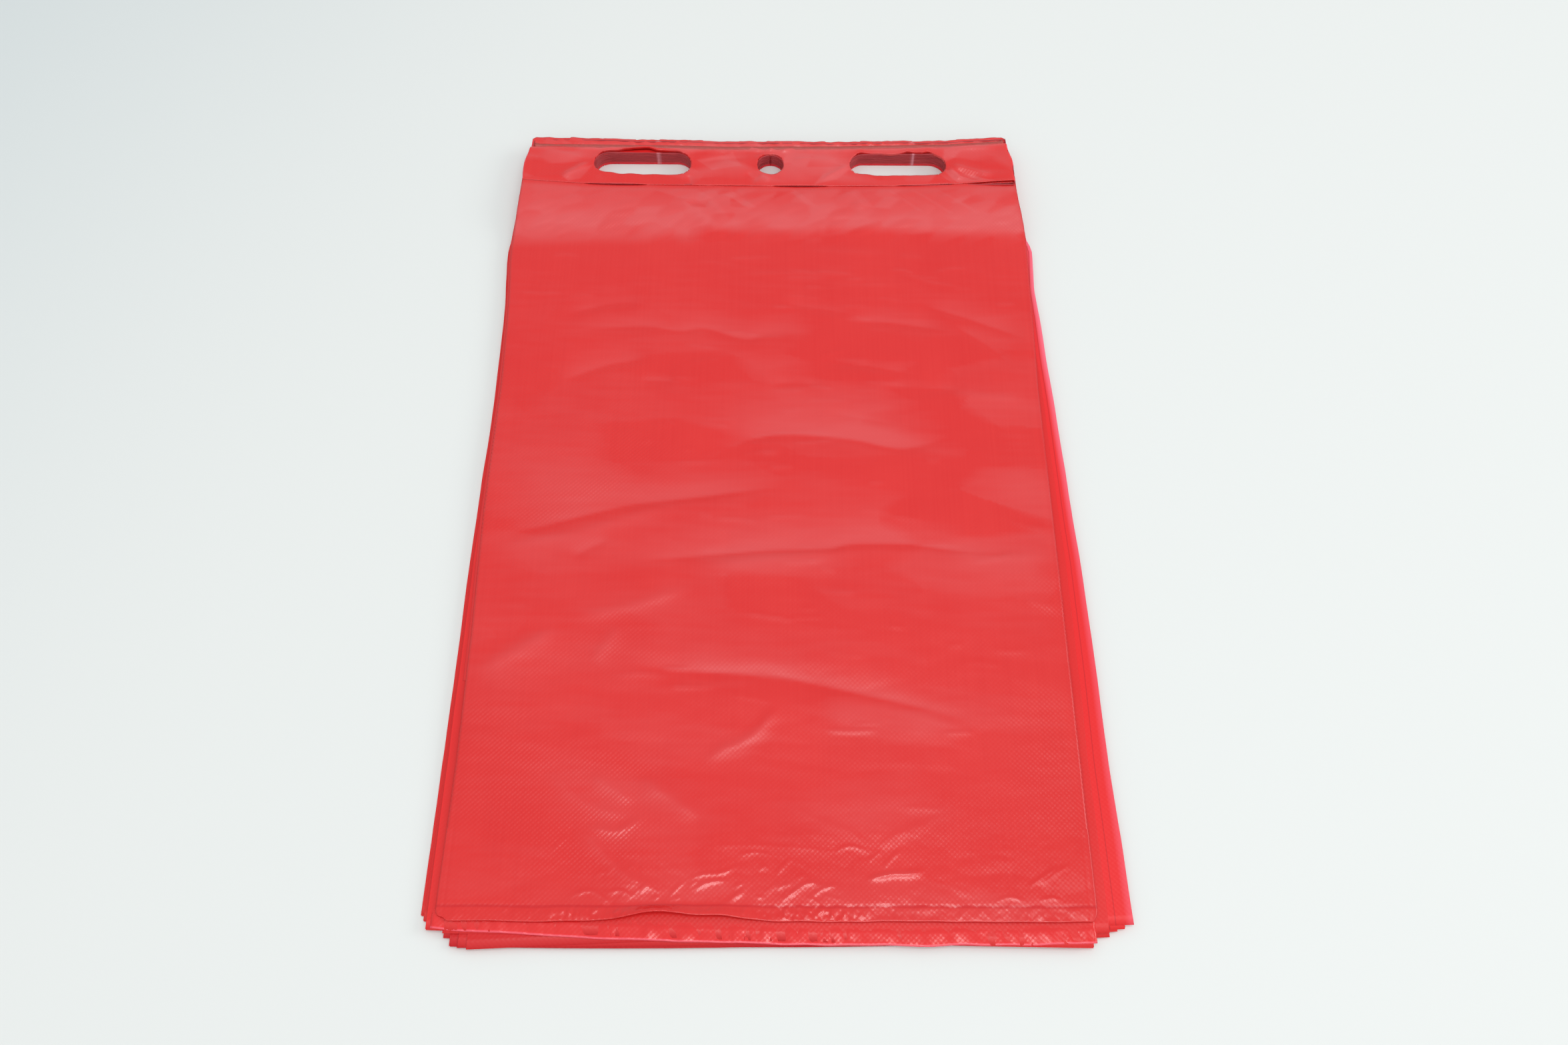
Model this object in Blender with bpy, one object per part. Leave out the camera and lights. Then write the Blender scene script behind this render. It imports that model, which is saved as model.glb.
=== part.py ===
# A pad of thin film bags, lying flat. The bags are stacked in register and welded
# together along the top of their shared header, which is punched with two hanging
# slots and a round hole. Below the header every bag tears off along a line of
# long slits with narrow ties between them. The loose bags fan out a little, so
# their sides and bottom corners show as steps. The whole pad is one piece.
#
# +X is across the pad, +Y runs up to the header, +Z is up, and the origin is on
# the flat underside, halfway along the pad.

import math

import bmesh
import bpy
from mathutils import Matrix

MM = 0.001

# Bags, in metres
BAG_WIDTH = 203.2 * MM
BAG_LENGTH = 300.0 * MM
BODY_THICKNESS = 4.0 * MM
EDGE_THICKNESS = 3.0 * MM
SEAL_SETBACK = 5.2 * MM
SEAL_WIDTH = 1.2 * MM
SEAL_DEPTH = 0.15 * MM

# Header, measured up from the tear line
HEADER_HEIGHT = 26.4 * MM
HEADER_THICKNESS = 7.4 * MM
HEADER_DIP_AT_TEAR = 2.4 * MM
HEADER_DIP_AT_TOP = 1.5 * MM
TRIM_SLOPE = 0.009
TRIM_WAVE = 0.25 * MM

# Weld bar, with the loose trimmed edge behind it. It lies a little askew, and its
# heat has drawn the film in.
WELD_SETBACK = 3.5 * MM
WELD_SLOPE = 0.017
WELD_WIDTH = 1.8 * MM
WELD_DEPTH = 1.3 * MM
WELD_SHOULDER = 0.5 * MM
WELD_SHRINK = 2.1 * MM
SHRINK_RUN = 6.0 * MM
TRIM_DROP = 0.6 * MM

# Hanging slots and hole, on one line
HANG_OFFSET = 11.5 * MM
SLOT_LENGTH = 40.2 * MM
SLOT_WIDTH = 12.2 * MM
SLOT_SPACING = 106.6 * MM
HOLE_DIAMETER = 11.0 * MM

# Tear line, with as many slits near this pitch as the width holds
SLIT_PITCH = 25.4 * MM
SLIT_WIDTH = 0.4 * MM
TIE_WIDTH = 1.7 * MM

# Slope from the raised header down to the flat bags, measured down from the tear
# line, and the run below it over which the bags have swung out into the fan
SLOPE_START = 2.0 * MM
SLOPE_END = 27.0 * MM
FAN_RUN = 3.0 * MM

# How the leaves join: each laps into the one below, and the header stands a hair
# proud of the leaf heads that it holds
LEAF_LAP = 0.08 * MM
HEAD_DEPTH = 1.2 * MM
HEADER_TAIL = 0.8 * MM
HEADER_PROUD = 0.1 * MM
HEAD_LIFT = 0.2 * MM

# The fan, from the top bag down. The first three values are the sideways shift in
# millimetres where the fan starts, halfway down and at the bottom edge. The last
# two are how far past BAG_LENGTH the left and right corners reach.
FAN = [
    ("top_bag", 0.3, 0.4, 0.2, 0.0, 0.5),
    ("second_bag", -0.5, -0.8, -0.8, 1.9, 5.9),
    ("third_bag", -1.1, -1.6, -2.6, 2.6, 6.4),
    ("right_fan_1", 3.7, 8.7, 11.8, 7.5, -0.4),
    ("right_fan_2", 3.1, 6.4, 8.2, 7.0, 0.8),
    ("right_fan_3", 2.4, 4.6, 5.6, 6.5, 2.1),
    ("right_fan_4", 1.5, 2.8, 3.6, 4.4, 3.9),
    ("left_fan_1", -2.2, -2.5, -3.3, -1.0, 4.5),
    ("left_fan_2", -3.4, -3.6, -4.4, -2.7, 3.0),
]

# Faceting
LEAF_COLUMNS = 10
SLOPE_ROWS = 5
FLAT_ROWS = 6
HEADER_COLUMNS = 24
ROUND_SEGMENTS = 36
CUTTER_DEPTH = 40.0 * MM

FILM_COLOUR = (0.78, 0.045, 0.05, 1.0)
FILM_ROUGHNESS = 0.38

TEAR_LINE_Y = (BAG_LENGTH - HEADER_HEIGHT) / 2.0
FAN_START = SLOPE_END + FAN_RUN


def mix(start, end, share):
    return start + (end - start) * share


def ease(share):
    share = min(max(share, 0.0), 1.0)
    return share * share * (3.0 - 2.0 * share)


def clear_scene():
    for item in list(bpy.data.objects):
        bpy.data.objects.remove(item, do_unlink=True)


def new_collection(name):
    collection = bpy.data.collections.new(name)
    bpy.context.scene.collection.children.link(collection)
    return collection


def add_object(name, bm, collection):
    bmesh.ops.recalc_face_normals(bm, faces=bm.faces[:])
    mesh = bpy.data.meshes.new(name)
    bm.to_mesh(mesh)
    bm.free()
    item = bpy.data.objects.new(name, mesh)
    collection.objects.link(item)
    return item


def make_tool(item):
    item.hide_render = True
    item.display_type = "WIRE"


# A slab starts as a grid extruded to unit height. Its vertices are then placed column
# by column and row by row, on the underside and on the top.
def slab(name, columns, rows, place, collection):
    bm = bmesh.new()
    bmesh.ops.create_grid(bm, x_segments=columns, y_segments=rows, size=1.0)
    raised = bmesh.ops.extrude_face_region(bm, geom=bm.faces[:])
    upper = [item for item in raised["geom"] if isinstance(item, bmesh.types.BMVert)]
    bmesh.ops.translate(bm, verts=upper, vec=(0.0, 0.0, 1.0))
    for vert in bm.verts:
        side = round((vert.co.x + 1.0) / 2.0 * columns) / columns
        row = round((vert.co.y + 1.0) / 2.0 * rows)
        x, y, low, high = place(side, row)
        vert.co = (x, y, high if vert.co.z > 0.5 else low)
    return add_object(name, bm, collection)


def header_height(x, up):
    across = min(abs(x) / (BAG_WIDTH / 2.0), 1.0)
    dip = mix(HEADER_DIP_AT_TEAR, HEADER_DIP_AT_TOP, min(max(up / HEADER_HEIGHT, 0.0), 1.0))
    return HEADER_THICKNESS - dip * (1.0 - across * across)


def pad_height(x, down):
    body = mix(BODY_THICKNESS, EDGE_THICKNESS, ease(down / BAG_LENGTH * 2.0 - 1.0))
    return mix(header_height(x, -down), body, ease((down - SLOPE_START) / (SLOPE_END - SLOPE_START)))


# Sideways shift of a leaf: it swings out below the header, and then follows one
# smooth curve through its three values
def leaf_shift(shifts, down):
    first, middle, last = shifts
    if down < FAN_START:
        return first * math.sin(math.pi / 2.0 * (down + HEAD_DEPTH) / (FAN_START + HEAD_DEPTH))
    share = (down - FAN_START) / (BAG_LENGTH - FAN_START)
    bow = 4.0 * (middle - (first + last) / 2.0)
    return mix(first, last, share) + bow * share * (1.0 - share)


def add_leaf(index, collection):
    name, first, middle, last, left_reach, right_reach = FAN[index]
    shifts = (first * MM, middle * MM, last * MM)
    half_width = BAG_WIDTH / 2.0 - HEADER_PROUD
    lowest = index == len(FAN) - 1

    def row_distance(row, side):
        length = BAG_LENGTH + mix(left_reach, right_reach, side) * MM
        seal = length - SEAL_SETBACK
        seal_rows = [seal - SEAL_WIDTH / 2.0, seal, seal + SEAL_WIDTH / 2.0, length]
        if row == 0:
            return -HEAD_DEPTH
        if row <= SLOPE_ROWS:
            return mix(SLOPE_START, SLOPE_END, (row - 1) / (SLOPE_ROWS - 1))
        row -= SLOPE_ROWS
        if row <= FLAT_ROWS:
            return mix(FAN_START, seal_rows[0], (row - 1) / (FLAT_ROWS - 1))
        return seal_rows[row - FLAT_ROWS]

    def place(side, row):
        down = row_distance(row, side)
        x = mix(-half_width, half_width, side) + leaf_shift(shifts, down)
        stack = pad_height(x, down) - HEADER_PROUD
        high = stack * (len(FAN) - index) / len(FAN)
        low = stack * (len(FAN) - index - 1) / len(FAN) - LEAF_LAP
        if lowest:
            low = HEAD_LIFT if row == 0 else 0.0
        if row == SLOPE_ROWS + FLAT_ROWS + 1:
            high -= SEAL_DEPTH
        return x, TEAR_LINE_Y - down, low, high

    return slab(name, LEAF_COLUMNS, SLOPE_ROWS + FLAT_ROWS + 3, place, collection)


# The header's rows run from just below the tear line to the trimmed top edge. Each
# gives its distance up, its slope across the pad and its drop.
def header_rows():
    near = HEADER_HEIGHT - WELD_SETBACK - WELD_WIDTH / 2.0
    far = near + WELD_WIDTH
    return [
        (-HEADER_TAIL, 0.0, 0.0),
        (HANG_OFFSET, 0.0, 0.0),
        (near - SHRINK_RUN, 0.0, 0.0),
        (near - SHRINK_RUN / 2.0, WELD_SLOPE, 0.0),
        (near - WELD_SHOULDER, WELD_SLOPE, 0.0),
        (near, WELD_SLOPE, WELD_DEPTH),
        (far, WELD_SLOPE, WELD_DEPTH),
        (far + WELD_SHOULDER, WELD_SLOPE, TRIM_DROP),
        (HEADER_HEIGHT, TRIM_SLOPE, TRIM_DROP),
    ]


def add_header(collection):
    rows = header_rows()
    weld_start = HEADER_HEIGHT - WELD_SETBACK - WELD_WIDTH / 2.0

    def place(side, row):
        up, slope, drop = rows[row]
        inset = WELD_SHRINK * ease((up - weld_start) / SHRINK_RUN + 1.0)
        half_width = BAG_WIDTH / 2.0 - inset
        x = mix(-half_width, half_width, side)
        up += slope * x
        if row == len(rows) - 1:
            up += TRIM_WAVE * math.sin(side * 19.0) * math.cos(side * 47.0)
        return x, TEAR_LINE_Y + up, 0.0, header_height(x, up) + HEADER_PROUD - drop

    return slab("bag_pad", HEADER_COLUMNS, len(rows) - 1, place, collection)


# A round-ended slot is a cylinder pulled apart at its middle
def add_punch(name, x, length, width, collection):
    bm = bmesh.new()
    turn = Matrix.Rotation(math.pi / ROUND_SEGMENTS, 4, "Z")
    radius = width / 2.0
    bmesh.ops.create_cone(
        bm,
        cap_ends=True,
        segments=ROUND_SEGMENTS,
        radius1=radius,
        radius2=radius,
        depth=CUTTER_DEPTH,
        matrix=turn,
    )
    for vert in bm.verts:
        vert.co.x += math.copysign((length - width) / 2.0, vert.co.x)
    punch = add_object(name, bm, collection)
    punch.location = (x, TEAR_LINE_Y + HANG_OFFSET, 0.0)
    make_tool(punch)


def add_slits(collection):
    count = max(1, round(BAG_WIDTH / SLIT_PITCH))
    pitch = BAG_WIDTH / count
    for index in range(count):
        bm = bmesh.new()
        size = Matrix.Diagonal((pitch - TIE_WIDTH, SLIT_WIDTH, CUTTER_DEPTH, 1.0))
        bmesh.ops.create_cube(bm, size=1.0, matrix=size)
        slit = add_object("tear_slit_%d" % (index + 1), bm, collection)
        slit.location = ((index + 0.5) * pitch - BAG_WIDTH / 2.0, TEAR_LINE_Y, 0.0)
        make_tool(slit)


def film_material():
    material = bpy.data.materials.new("red_film")
    material.use_nodes = True
    shader = material.node_tree.nodes["Principled BSDF"]
    shader.inputs["Base Color"].default_value = FILM_COLOUR
    shader.inputs["Roughness"].default_value = FILM_ROUGHNESS
    shader.inputs["Metallic"].default_value = 0.0
    return material


def add_boolean(item, name, operation, collection):
    modifier = item.modifiers.new(name, "BOOLEAN")
    modifier.operation = operation
    modifier.operand_type = "COLLECTION"
    modifier.collection = collection
    modifier.solver = "EXACT"


def main():
    clear_scene()
    parts = new_collection("header_bag_pad")
    leaves = new_collection("leaves")
    cutters = new_collection("cutters")
    pad = add_header(parts)
    for index in range(len(FAN)):
        make_tool(add_leaf(index, leaves))
    add_punch("slot_left", -SLOT_SPACING / 2.0, SLOT_LENGTH, SLOT_WIDTH, cutters)
    add_punch("slot_right", SLOT_SPACING / 2.0, SLOT_LENGTH, SLOT_WIDTH, cutters)
    add_punch("hang_hole", 0.0, HOLE_DIAMETER, HOLE_DIAMETER, cutters)
    add_slits(cutters)
    add_boolean(pad, "join_leaves", "UNION", leaves)
    add_boolean(pad, "punch", "DIFFERENCE", cutters)
    pad.data.materials.append(film_material())


main()
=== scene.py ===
import math

import bpy
import numpy as np
from mathutils import Matrix, Vector, noise


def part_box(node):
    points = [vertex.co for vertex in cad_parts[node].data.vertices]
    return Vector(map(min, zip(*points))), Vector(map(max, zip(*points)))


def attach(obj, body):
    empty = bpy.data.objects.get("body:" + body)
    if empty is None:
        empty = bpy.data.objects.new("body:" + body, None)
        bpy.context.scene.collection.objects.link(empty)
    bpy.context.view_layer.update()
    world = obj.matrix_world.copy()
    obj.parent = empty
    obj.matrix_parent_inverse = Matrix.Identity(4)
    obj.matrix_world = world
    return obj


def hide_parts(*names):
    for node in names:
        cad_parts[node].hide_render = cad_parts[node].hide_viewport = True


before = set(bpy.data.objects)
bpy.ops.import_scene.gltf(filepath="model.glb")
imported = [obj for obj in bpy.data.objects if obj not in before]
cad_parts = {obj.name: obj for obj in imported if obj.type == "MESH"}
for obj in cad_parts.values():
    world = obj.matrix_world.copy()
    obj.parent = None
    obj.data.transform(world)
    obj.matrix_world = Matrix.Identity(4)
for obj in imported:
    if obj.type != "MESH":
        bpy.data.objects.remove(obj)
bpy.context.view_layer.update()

# A pad of red film bags on a welded block header. The film is modelled bag by bag around
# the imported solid. Settings are in millimetres, and one function writes meshes in metres.
padLow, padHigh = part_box("bag_pad")
mm = 0.001

pad = {
    "width": 203.2,             # each bag, flat
    "length": 300.0,            # tear line to bottom edge
    "bodyHeight": 4.0,          # stack under the middle of the bags
    "footHeight": 3.0,          # stack at the bottom edge
    "slopeStart": 2.0,          # the film comes down from the header over this run
    "slopeEnd": 27.0,
    "fanStart": 30.0,
    "headLap": -1.2,            # the bags start a little above the tear line, inside the header
    "settle": 0.80,             # the lower bags lie this much flatter than the puffed top one
    "bags": 27,                 # drawn sheets, each standing for about four real bags
}

header = {
    "height": 26.4,             # tear line to trimmed edge
    "thickness": 7.4,
    "dipAtTear": 1.6,           # the pressed middle of the header lies lower
    "dipAtTop": 1.2,
    "trimRise": 0.9,            # the trim climbs this much above the height at the right end
    "trimSlope": 0.009,
    "weldUp": 23.0,
    "weldSlope": 0.017,
    "weldWidth": 1.8,
    "slotUp": 11.5,             # slots and hole share this line
    "slotLength": 40.2,
    "slotWidth": 12.2,
    "slotSpacing": 106.6,
    "holeDiameter": 11.0,
}
halfWidth = pad["width"] / 2
tearY = padHigh.y / mm - header["height"] - header["trimRise"]


def mix(start, end, share):
    return start + (end - start) * share


def ease(share):
    share = np.clip(share, 0.0, 1.0)
    return share * share * (3.0 - 2.0 * share)


def bump(distance, width):
    return np.exp(-(distance / width) ** 2)


def headerHeight(x, up):
    across = np.clip(np.abs(x) / halfWidth, 0.0, 1.0)
    dip = mix(header["dipAtTear"], header["dipAtTop"], np.clip(up / header["height"], 0.0, 1.0))
    return header["thickness"] - dip * (1.0 - across**2)


def stackHeight(x, down):
    body = mix(pad["bodyHeight"], pad["footHeight"], ease(down / pad["length"] * 2.0 - 1.0))
    drop = ease((down - pad["slopeStart"]) / (pad["slopeEnd"] - pad["slopeStart"]))
    return mix(headerHeight(x, -down), body, drop)


# Smooth noise at each point of an array, as wide as scale and between about -1 and 1
def ripple(x, y, scale, seed, stretch=1.0):
    flat = np.broadcast_arrays(x, y)
    pairs = zip((flat[0] / (scale * stretch)).ravel(), (flat[1] / scale).ravel())
    values = [noise.noise(Vector((a, b, seed * 7.31))) for a, b in pairs]
    return np.array(values).reshape(flat[0].shape)


# Flat facets that meet in sharp creases, as in crumpled film
def facets(x, y, scale, seed, stretch=1.0):
    pairs = zip((x / (scale * stretch)).ravel(), (y / scale).ravel())
    values = []
    for a, b in pairs:
        near = noise.voronoi(Vector((a, b, seed * 3.17)))[0]
        values.append(near[1] - near[0])
    return np.array(values).reshape(x.shape)


# A smooth line through listed points
def smoothLine(points, steps=6):
    ends = [points[0]] + list(points) + [points[-1]]
    line = []
    for index in range(len(points) - 1):
        a, b, c, d = (np.array(p, float) for p in ends[index:index + 4])
        for step in range(steps):
            t = step / steps
            bend = (2 * a - 5 * b + 4 * c - d) * t * t + (3 * b - a - 3 * c + d) * t**3
            line.append((2 * b + (c - a) * t + bend) / 2)
    line.append(np.array(points[-1], float))
    return np.array(line)


# Signed distance to a line, and the share along it. Above the line is positive.
def alongLine(x, y, line):
    best = np.full(x.shape, 1e9)
    side = np.zeros(x.shape)
    share = np.zeros(x.shape)
    lengths = np.hypot(*np.diff(line, axis=0).T)
    travelled = np.concatenate([[0.0], np.cumsum(lengths)])
    for index in range(len(line) - 1):
        start = line[index]
        run = line[index + 1] - start
        t = np.clip(((x - start[0]) * run[0] + (y - start[1]) * run[1]) / lengths[index] ** 2, 0.0, 1.0)
        distance = np.hypot(x - start[0] - t * run[0], y - start[1] - t * run[1])
        closer = distance < best
        best = np.where(closer, distance, best)
        over = np.sign(run[0] * (y - start[1]) - run[1] * (x - start[0]))
        side = np.where(closer, over, side)
        share = np.where(closer, (travelled[index] + t * lengths[index]) / travelled[-1], share)
    return best * side, share


# Each crease is (height, width above, width below, points). It fades out at its ends. Its tone is
# painted light and shade: a ridge is painted lighter all over, a valley lighter above and darker below.
def creaseField(x, y, creases):
    relief = np.zeros(x.shape)
    paintedLight = np.zeros(x.shape)
    for height, above, below, points in creases:
        reach = 3.5 * max(above, below)
        line = smoothLine([(px, py) for px, py in points])
        low = line.min(axis=0) - reach
        high = line.max(axis=0) + reach
        near = (x > low[0]) & (x < high[0]) & (y > low[1]) & (y < high[1])
        if not near.any():
            continue
        distance, share = alongLine(x[near], y[near], line)
        width = np.where(distance > 0.0, above, below)
        fade = ease(share / 0.3) * ease((1.0 - share) / 0.3)
        capped = ease(2.0 - np.abs(distance) / width / 1.6)
        shape = np.exp(-np.hypot(distance / width, 0.12) ** 1.3) * fade * capped
        relief[near] += height * shape
        # painted shade on the lower side of a valley, painted light on its upper side
        lit = 0.15 + 0.85 * np.tanh(distance / 0.7) if height < 0.0 else 1.0
        paintedLight[near] += abs(height) * shape * lit
    return relief, paintedLight


# Painted light and shade: each facet of crumpled film gets its own flat tone, with a soft border
def paintedFacetLight(x, y, scale, seed, stretch=1.0):
    pairs = zip((x / (scale * stretch)).ravel(), (y / scale).ravel())
    values = []
    for a, b in pairs:
        gaps, centres = noise.voronoi(Vector((a, b, seed * 3.17)))
        own, other = noise.noise(centres[0] * 2.3), noise.noise(centres[1] * 2.3)
        values.append(own + (other - own) * max(0.0, 0.5 - (gaps[1] - gaps[0]) * 2.6))
    return np.array(values).reshape(x.shape)


def writeFields(mesh, fields):
    for key, values in fields.items():
        mesh.attributes.new(key, "FLOAT", "POINT").data.foreach_set("value", np.ravel(values))


# One mesh writer: millimetres in, an object at the origin with its place in its mesh. The rim
# faces come last and stay flat, so that they don't shade the film beside them.
def makePiece(name, points, faces, material, fields=None, rimFaces=0):
    mesh = bpy.data.meshes.new(name)
    mesh.from_pydata((np.asarray(points, float) * mm).tolist(), [], faces)
    mesh.validate()
    writeFields(mesh, fields or {})
    rounded = [True] * (len(mesh.polygons) - rimFaces) + [False] * rimFaces
    mesh.polygons.foreach_set("use_smooth", rounded)
    mesh.materials.append(material)
    piece = bpy.data.objects.new(name, mesh)
    bpy.context.scene.collection.objects.link(piece)
    return piece


def gridFaces(rows, columns, keep=None):
    faces = []
    for row in range(rows - 1):
        for column in range(columns - 1):
            if keep is None or keep[row, column]:
                corner = row * columns + column
                faces.append((corner, corner + columns, corner + columns + 1, corner + 1))
    return faces


def dress(piece):
    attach(piece, "root")
    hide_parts("bag_pad")


# Colour and nodes

def linear(hexCode):
    channels = [int(hexCode[i:i + 2], 16) / 255 for i in (1, 3, 5)]
    return [c / 12.92 if c <= 0.04045 else ((c + 0.055) / 1.055) ** 2.4 for c in channels] + [1.0]


# Adds a node. Settings are its properties. An input takes a value, an output to link, or a
# node whose first output in use is linked.
def addNode(tree, kind, settings=None, inputs=None):
    node = tree.nodes.new(kind)
    for key, value in (settings or {}).items():
        setattr(node, key, value)
    for key, value in (inputs or {}).items():
        if isinstance(value, bpy.types.Node):
            value = next(socket for socket in value.outputs if socket.enabled)
        if isinstance(value, bpy.types.NodeSocket):
            tree.links.new(value, node.inputs[key])
        else:
            node.inputs[key].default_value = value
    return node


def newMaterial(name):
    material = bpy.data.materials.new(name)
    material.use_nodes = True
    material.node_tree.nodes.clear()
    return material, material.node_tree


# Red HDPE blown film, embossed by its chill roll. It is thin and satin, so wrinkles catch the
# light softly, a diamond lattice glints on the flanks, and die lines run down the bag.
filmLook = {
    "red": "#dd2322", "lightRed": "#e12a28", "milkySheen": "#e05354", "vivid": "#ec2829",
    "pink": "#ff7086", "crimson": "#cc1019",
    "roughness": 0.36, "glossy": 0.2, "ior": 1.54,
    "fannedIor": 1.42,          # the lower bags stick to each other, which dulls them
    "diamond": 1.65,            # lattice period in mm, counted in the photograph
    "diamondDepth": 0.024,
    "line": "#cc1f24", "lineWidth": 0.26,       # edges of lower bags seen through a film
    # noise periods in mm: real die lines are about 0.3 mm apart, drawn coarser to show
    "dieLine": (0.9, 60.0, 50.0), "cloud": 28.0, "streakShare": 0.6, "spread": (0.55, 1.05),
    "crinkle": 2.6, "crinkleDepth": 0.03,
}


def makeFilm(name, lined=False):
    look = filmLook
    material, tree = newMaterial(name)
    place = addNode(tree, "ShaderNodeTexCoord").outputs["Object"]
    read = {}
    for key in ["tint", "milkAndSheen", "emboss", "gloss"] + ["line"] * lined:
        read[key] = addNode(tree, "ShaderNodeAttribute", {"attribute_name": key}).outputs["Fac"]
    lines = addNode(tree, "ShaderNodeMapping", {}, {
        "Vector": place, "Scale": [1 / (period * mm) for period in look["dieLine"]]})
    streak = addNode(tree, "ShaderNodeTexNoise", {}, {"Vector": lines, "Scale": 1.0, "Detail": 2.0})
    cloud = addNode(tree, "ShaderNodeTexNoise", {}, {
        "Vector": place, "Scale": 1 / (look["cloud"] * mm), "Detail": 3.0})
    both = addNode(tree, "ShaderNodeMath", {"operation": "MULTIPLY_ADD"}, {
        0: streak, 1: look["streakShare"], 2: cloud})
    spread = addNode(tree, "ShaderNodeMapRange", {}, {
        "Value": both, "From Min": look["spread"][0], "From Max": look["spread"][1]})
    colour = addNode(tree, "ShaderNodeMix", {"data_type": "RGBA"}, {
        0: spread, 6: linear(look["red"]), 7: linear(look["lightRed"])})
    # film that stands off is milky, and the same attribute carries painted highlights and shade. Under a
    # positive tint it is vivid and then pink, as where few films lie together, and under a negative one
    # crimson, as along the seal and as painted shade at the foot of the lower bags.
    for key, source, start, end in (("milkySheen", "milkAndSheen", 0.0, 1.0), ("vivid", "tint", 0.0, 0.5),
                                    ("pink", "tint", 0.5, 1.0), ("crimson", "tint", 0.0, -1.0)):
        share = addNode(tree, "ShaderNodeMapRange", {}, {
            "Value": read[source], "From Min": start, "From Max": end})
        colour = addNode(tree, "ShaderNodeMix", {"data_type": "RGBA"}, {
            0: share, 6: colour, 7: linear(look[key])})
    if lined:
        size = addNode(tree, "ShaderNodeMath", {"operation": "ABSOLUTE"}, {0: read["line"]})
        clear = addNode(tree, "ShaderNodeMapRange", {}, {"Value": size, "From Max": look["lineWidth"]})
        colour = addNode(tree, "ShaderNodeMix", {"data_type": "RGBA"}, {
            0: clear, 6: linear(look["line"]), 7: colour})

    wave = 2 * math.pi / (look["diamond"] * mm)
    waves = []
    for lean in (wave, -wave):
        across = addNode(tree, "ShaderNodeVectorMath", {"operation": "DOT_PRODUCT"}, {
            0: place, 1: (wave, lean, 0.0)})
        waves.append(addNode(tree, "ShaderNodeMath", {"operation": "SINE"}, {0: across}))
    lattice = addNode(tree, "ShaderNodeMath", {"operation": "ADD"}, {0: waves[0], 1: waves[1]})
    pressed = addNode(tree, "ShaderNodeMath", {"operation": "MULTIPLY"}, {0: lattice, 1: read["emboss"]})
    fold = addNode(tree, "ShaderNodeTexNoise", {}, {
        "Vector": place, "Scale": 1 / (look["crinkle"] * mm), "Detail": 3.0, "Roughness": 0.6})
    lift = addNode(tree, "ShaderNodeBump", {}, {
        "Height": fold, "Distance": look["crinkleDepth"] * mm, "Strength": 1.0})
    relief = addNode(tree, "ShaderNodeBump", {}, {
        "Height": pressed, "Distance": look["diamondDepth"] * mm, "Normal": lift})
    rough = addNode(tree, "ShaderNodeMapRange", {}, {
        "Value": read["gloss"], "To Min": look["roughness"], "To Max": look["glossy"]})
    film = addNode(tree, "ShaderNodeBsdfPrincipled", {}, {
        "Base Color": colour, "Roughness": rough, "Normal": relief,
        "IOR": look["fannedIor"] if lined else look["ior"]})
    addNode(tree, "ShaderNodeOutputMaterial", {}, {"Surface": film})
    return material


# The punch has cut through a hundred films at once, so the walls show their edges as fine
# maroon layers, lighter where a film stands out. Fresh red shows at the foot.
cutLook = {
    "dark": "#a01e26", "light": "#c03a40", "fresh": "#ec1c30", "pale": "#e0909a",
    "alongScale": 90.0,         # noise along the layers, in periods per metre
    "layer": 0.32,              # noise period through them in mm
    "spread": (0.35, 0.72), "grainDepth": 0.08, "roughness": 0.5, "ior": 1.54,
}


def makeCutEdge(name):
    look = cutLook
    material, tree = newMaterial(name)
    place = addNode(tree, "ShaderNodeTexCoord").outputs["Object"]
    layers = addNode(tree, "ShaderNodeMapping", {}, {
        "Vector": place, "Scale": (look["alongScale"], look["alongScale"], 1 / (look["layer"] * mm))})
    grain = addNode(tree, "ShaderNodeTexNoise", {}, {"Vector": layers, "Scale": 1.0, "Detail": 4.0})
    spread = addNode(tree, "ShaderNodeMapRange", {}, {
        "Value": grain, "From Min": look["spread"][0], "From Max": look["spread"][1]})
    colour = addNode(tree, "ShaderNodeMix", {"data_type": "RGBA"}, {
        0: spread, 6: linear(look["dark"]), 7: linear(look["light"])})
    for key, source in (("fresh", "tint"), ("pale", "pale")):
        share = addNode(tree, "ShaderNodeAttribute", {"attribute_name": source}).outputs["Fac"]
        colour = addNode(tree, "ShaderNodeMix", {"data_type": "RGBA"}, {
            0: share, 6: colour, 7: linear(look[key])})
    relief = addNode(tree, "ShaderNodeBump", {}, {"Height": grain, "Distance": look["grainDepth"] * mm})
    edge = addNode(tree, "ShaderNodeBsdfPrincipled", {}, {
        "Base Color": colour, "Roughness": look["roughness"], "IOR": look["ior"], "Normal": relief})
    addNode(tree, "ShaderNodeOutputMaterial", {}, {"Surface": edge})
    return material


# The hot bar has melted the films into one strip. The melt is denser and browner than the
# film, with a smooth, lumpy skin.
weldLook = {"brown": "#a03a34", "ember": "#bb4f48", "lump": 1.4, "lumpDepth": 0.12, "roughness": 0.42,
            "ior": 1.54}


def makeWeld(name):
    look = weldLook
    material, tree = newMaterial(name)
    place = addNode(tree, "ShaderNodeTexCoord").outputs["Object"]
    lump = addNode(tree, "ShaderNodeTexNoise", {}, {
        "Vector": place, "Scale": 1 / (look["lump"] * mm), "Detail": 3.0})
    colour = addNode(tree, "ShaderNodeMix", {"data_type": "RGBA"}, {
        0: lump, 6: linear(look["brown"]), 7: linear(look["ember"])})
    relief = addNode(tree, "ShaderNodeBump", {}, {"Height": lump, "Distance": look["lumpDepth"] * mm})
    melt = addNode(tree, "ShaderNodeBsdfPrincipled", {}, {
        "Base Color": colour, "Roughness": look["roughness"], "IOR": look["ior"], "Normal": relief})
    addNode(tree, "ShaderNodeOutputMaterial", {}, {"Surface": melt})
    return material
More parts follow.
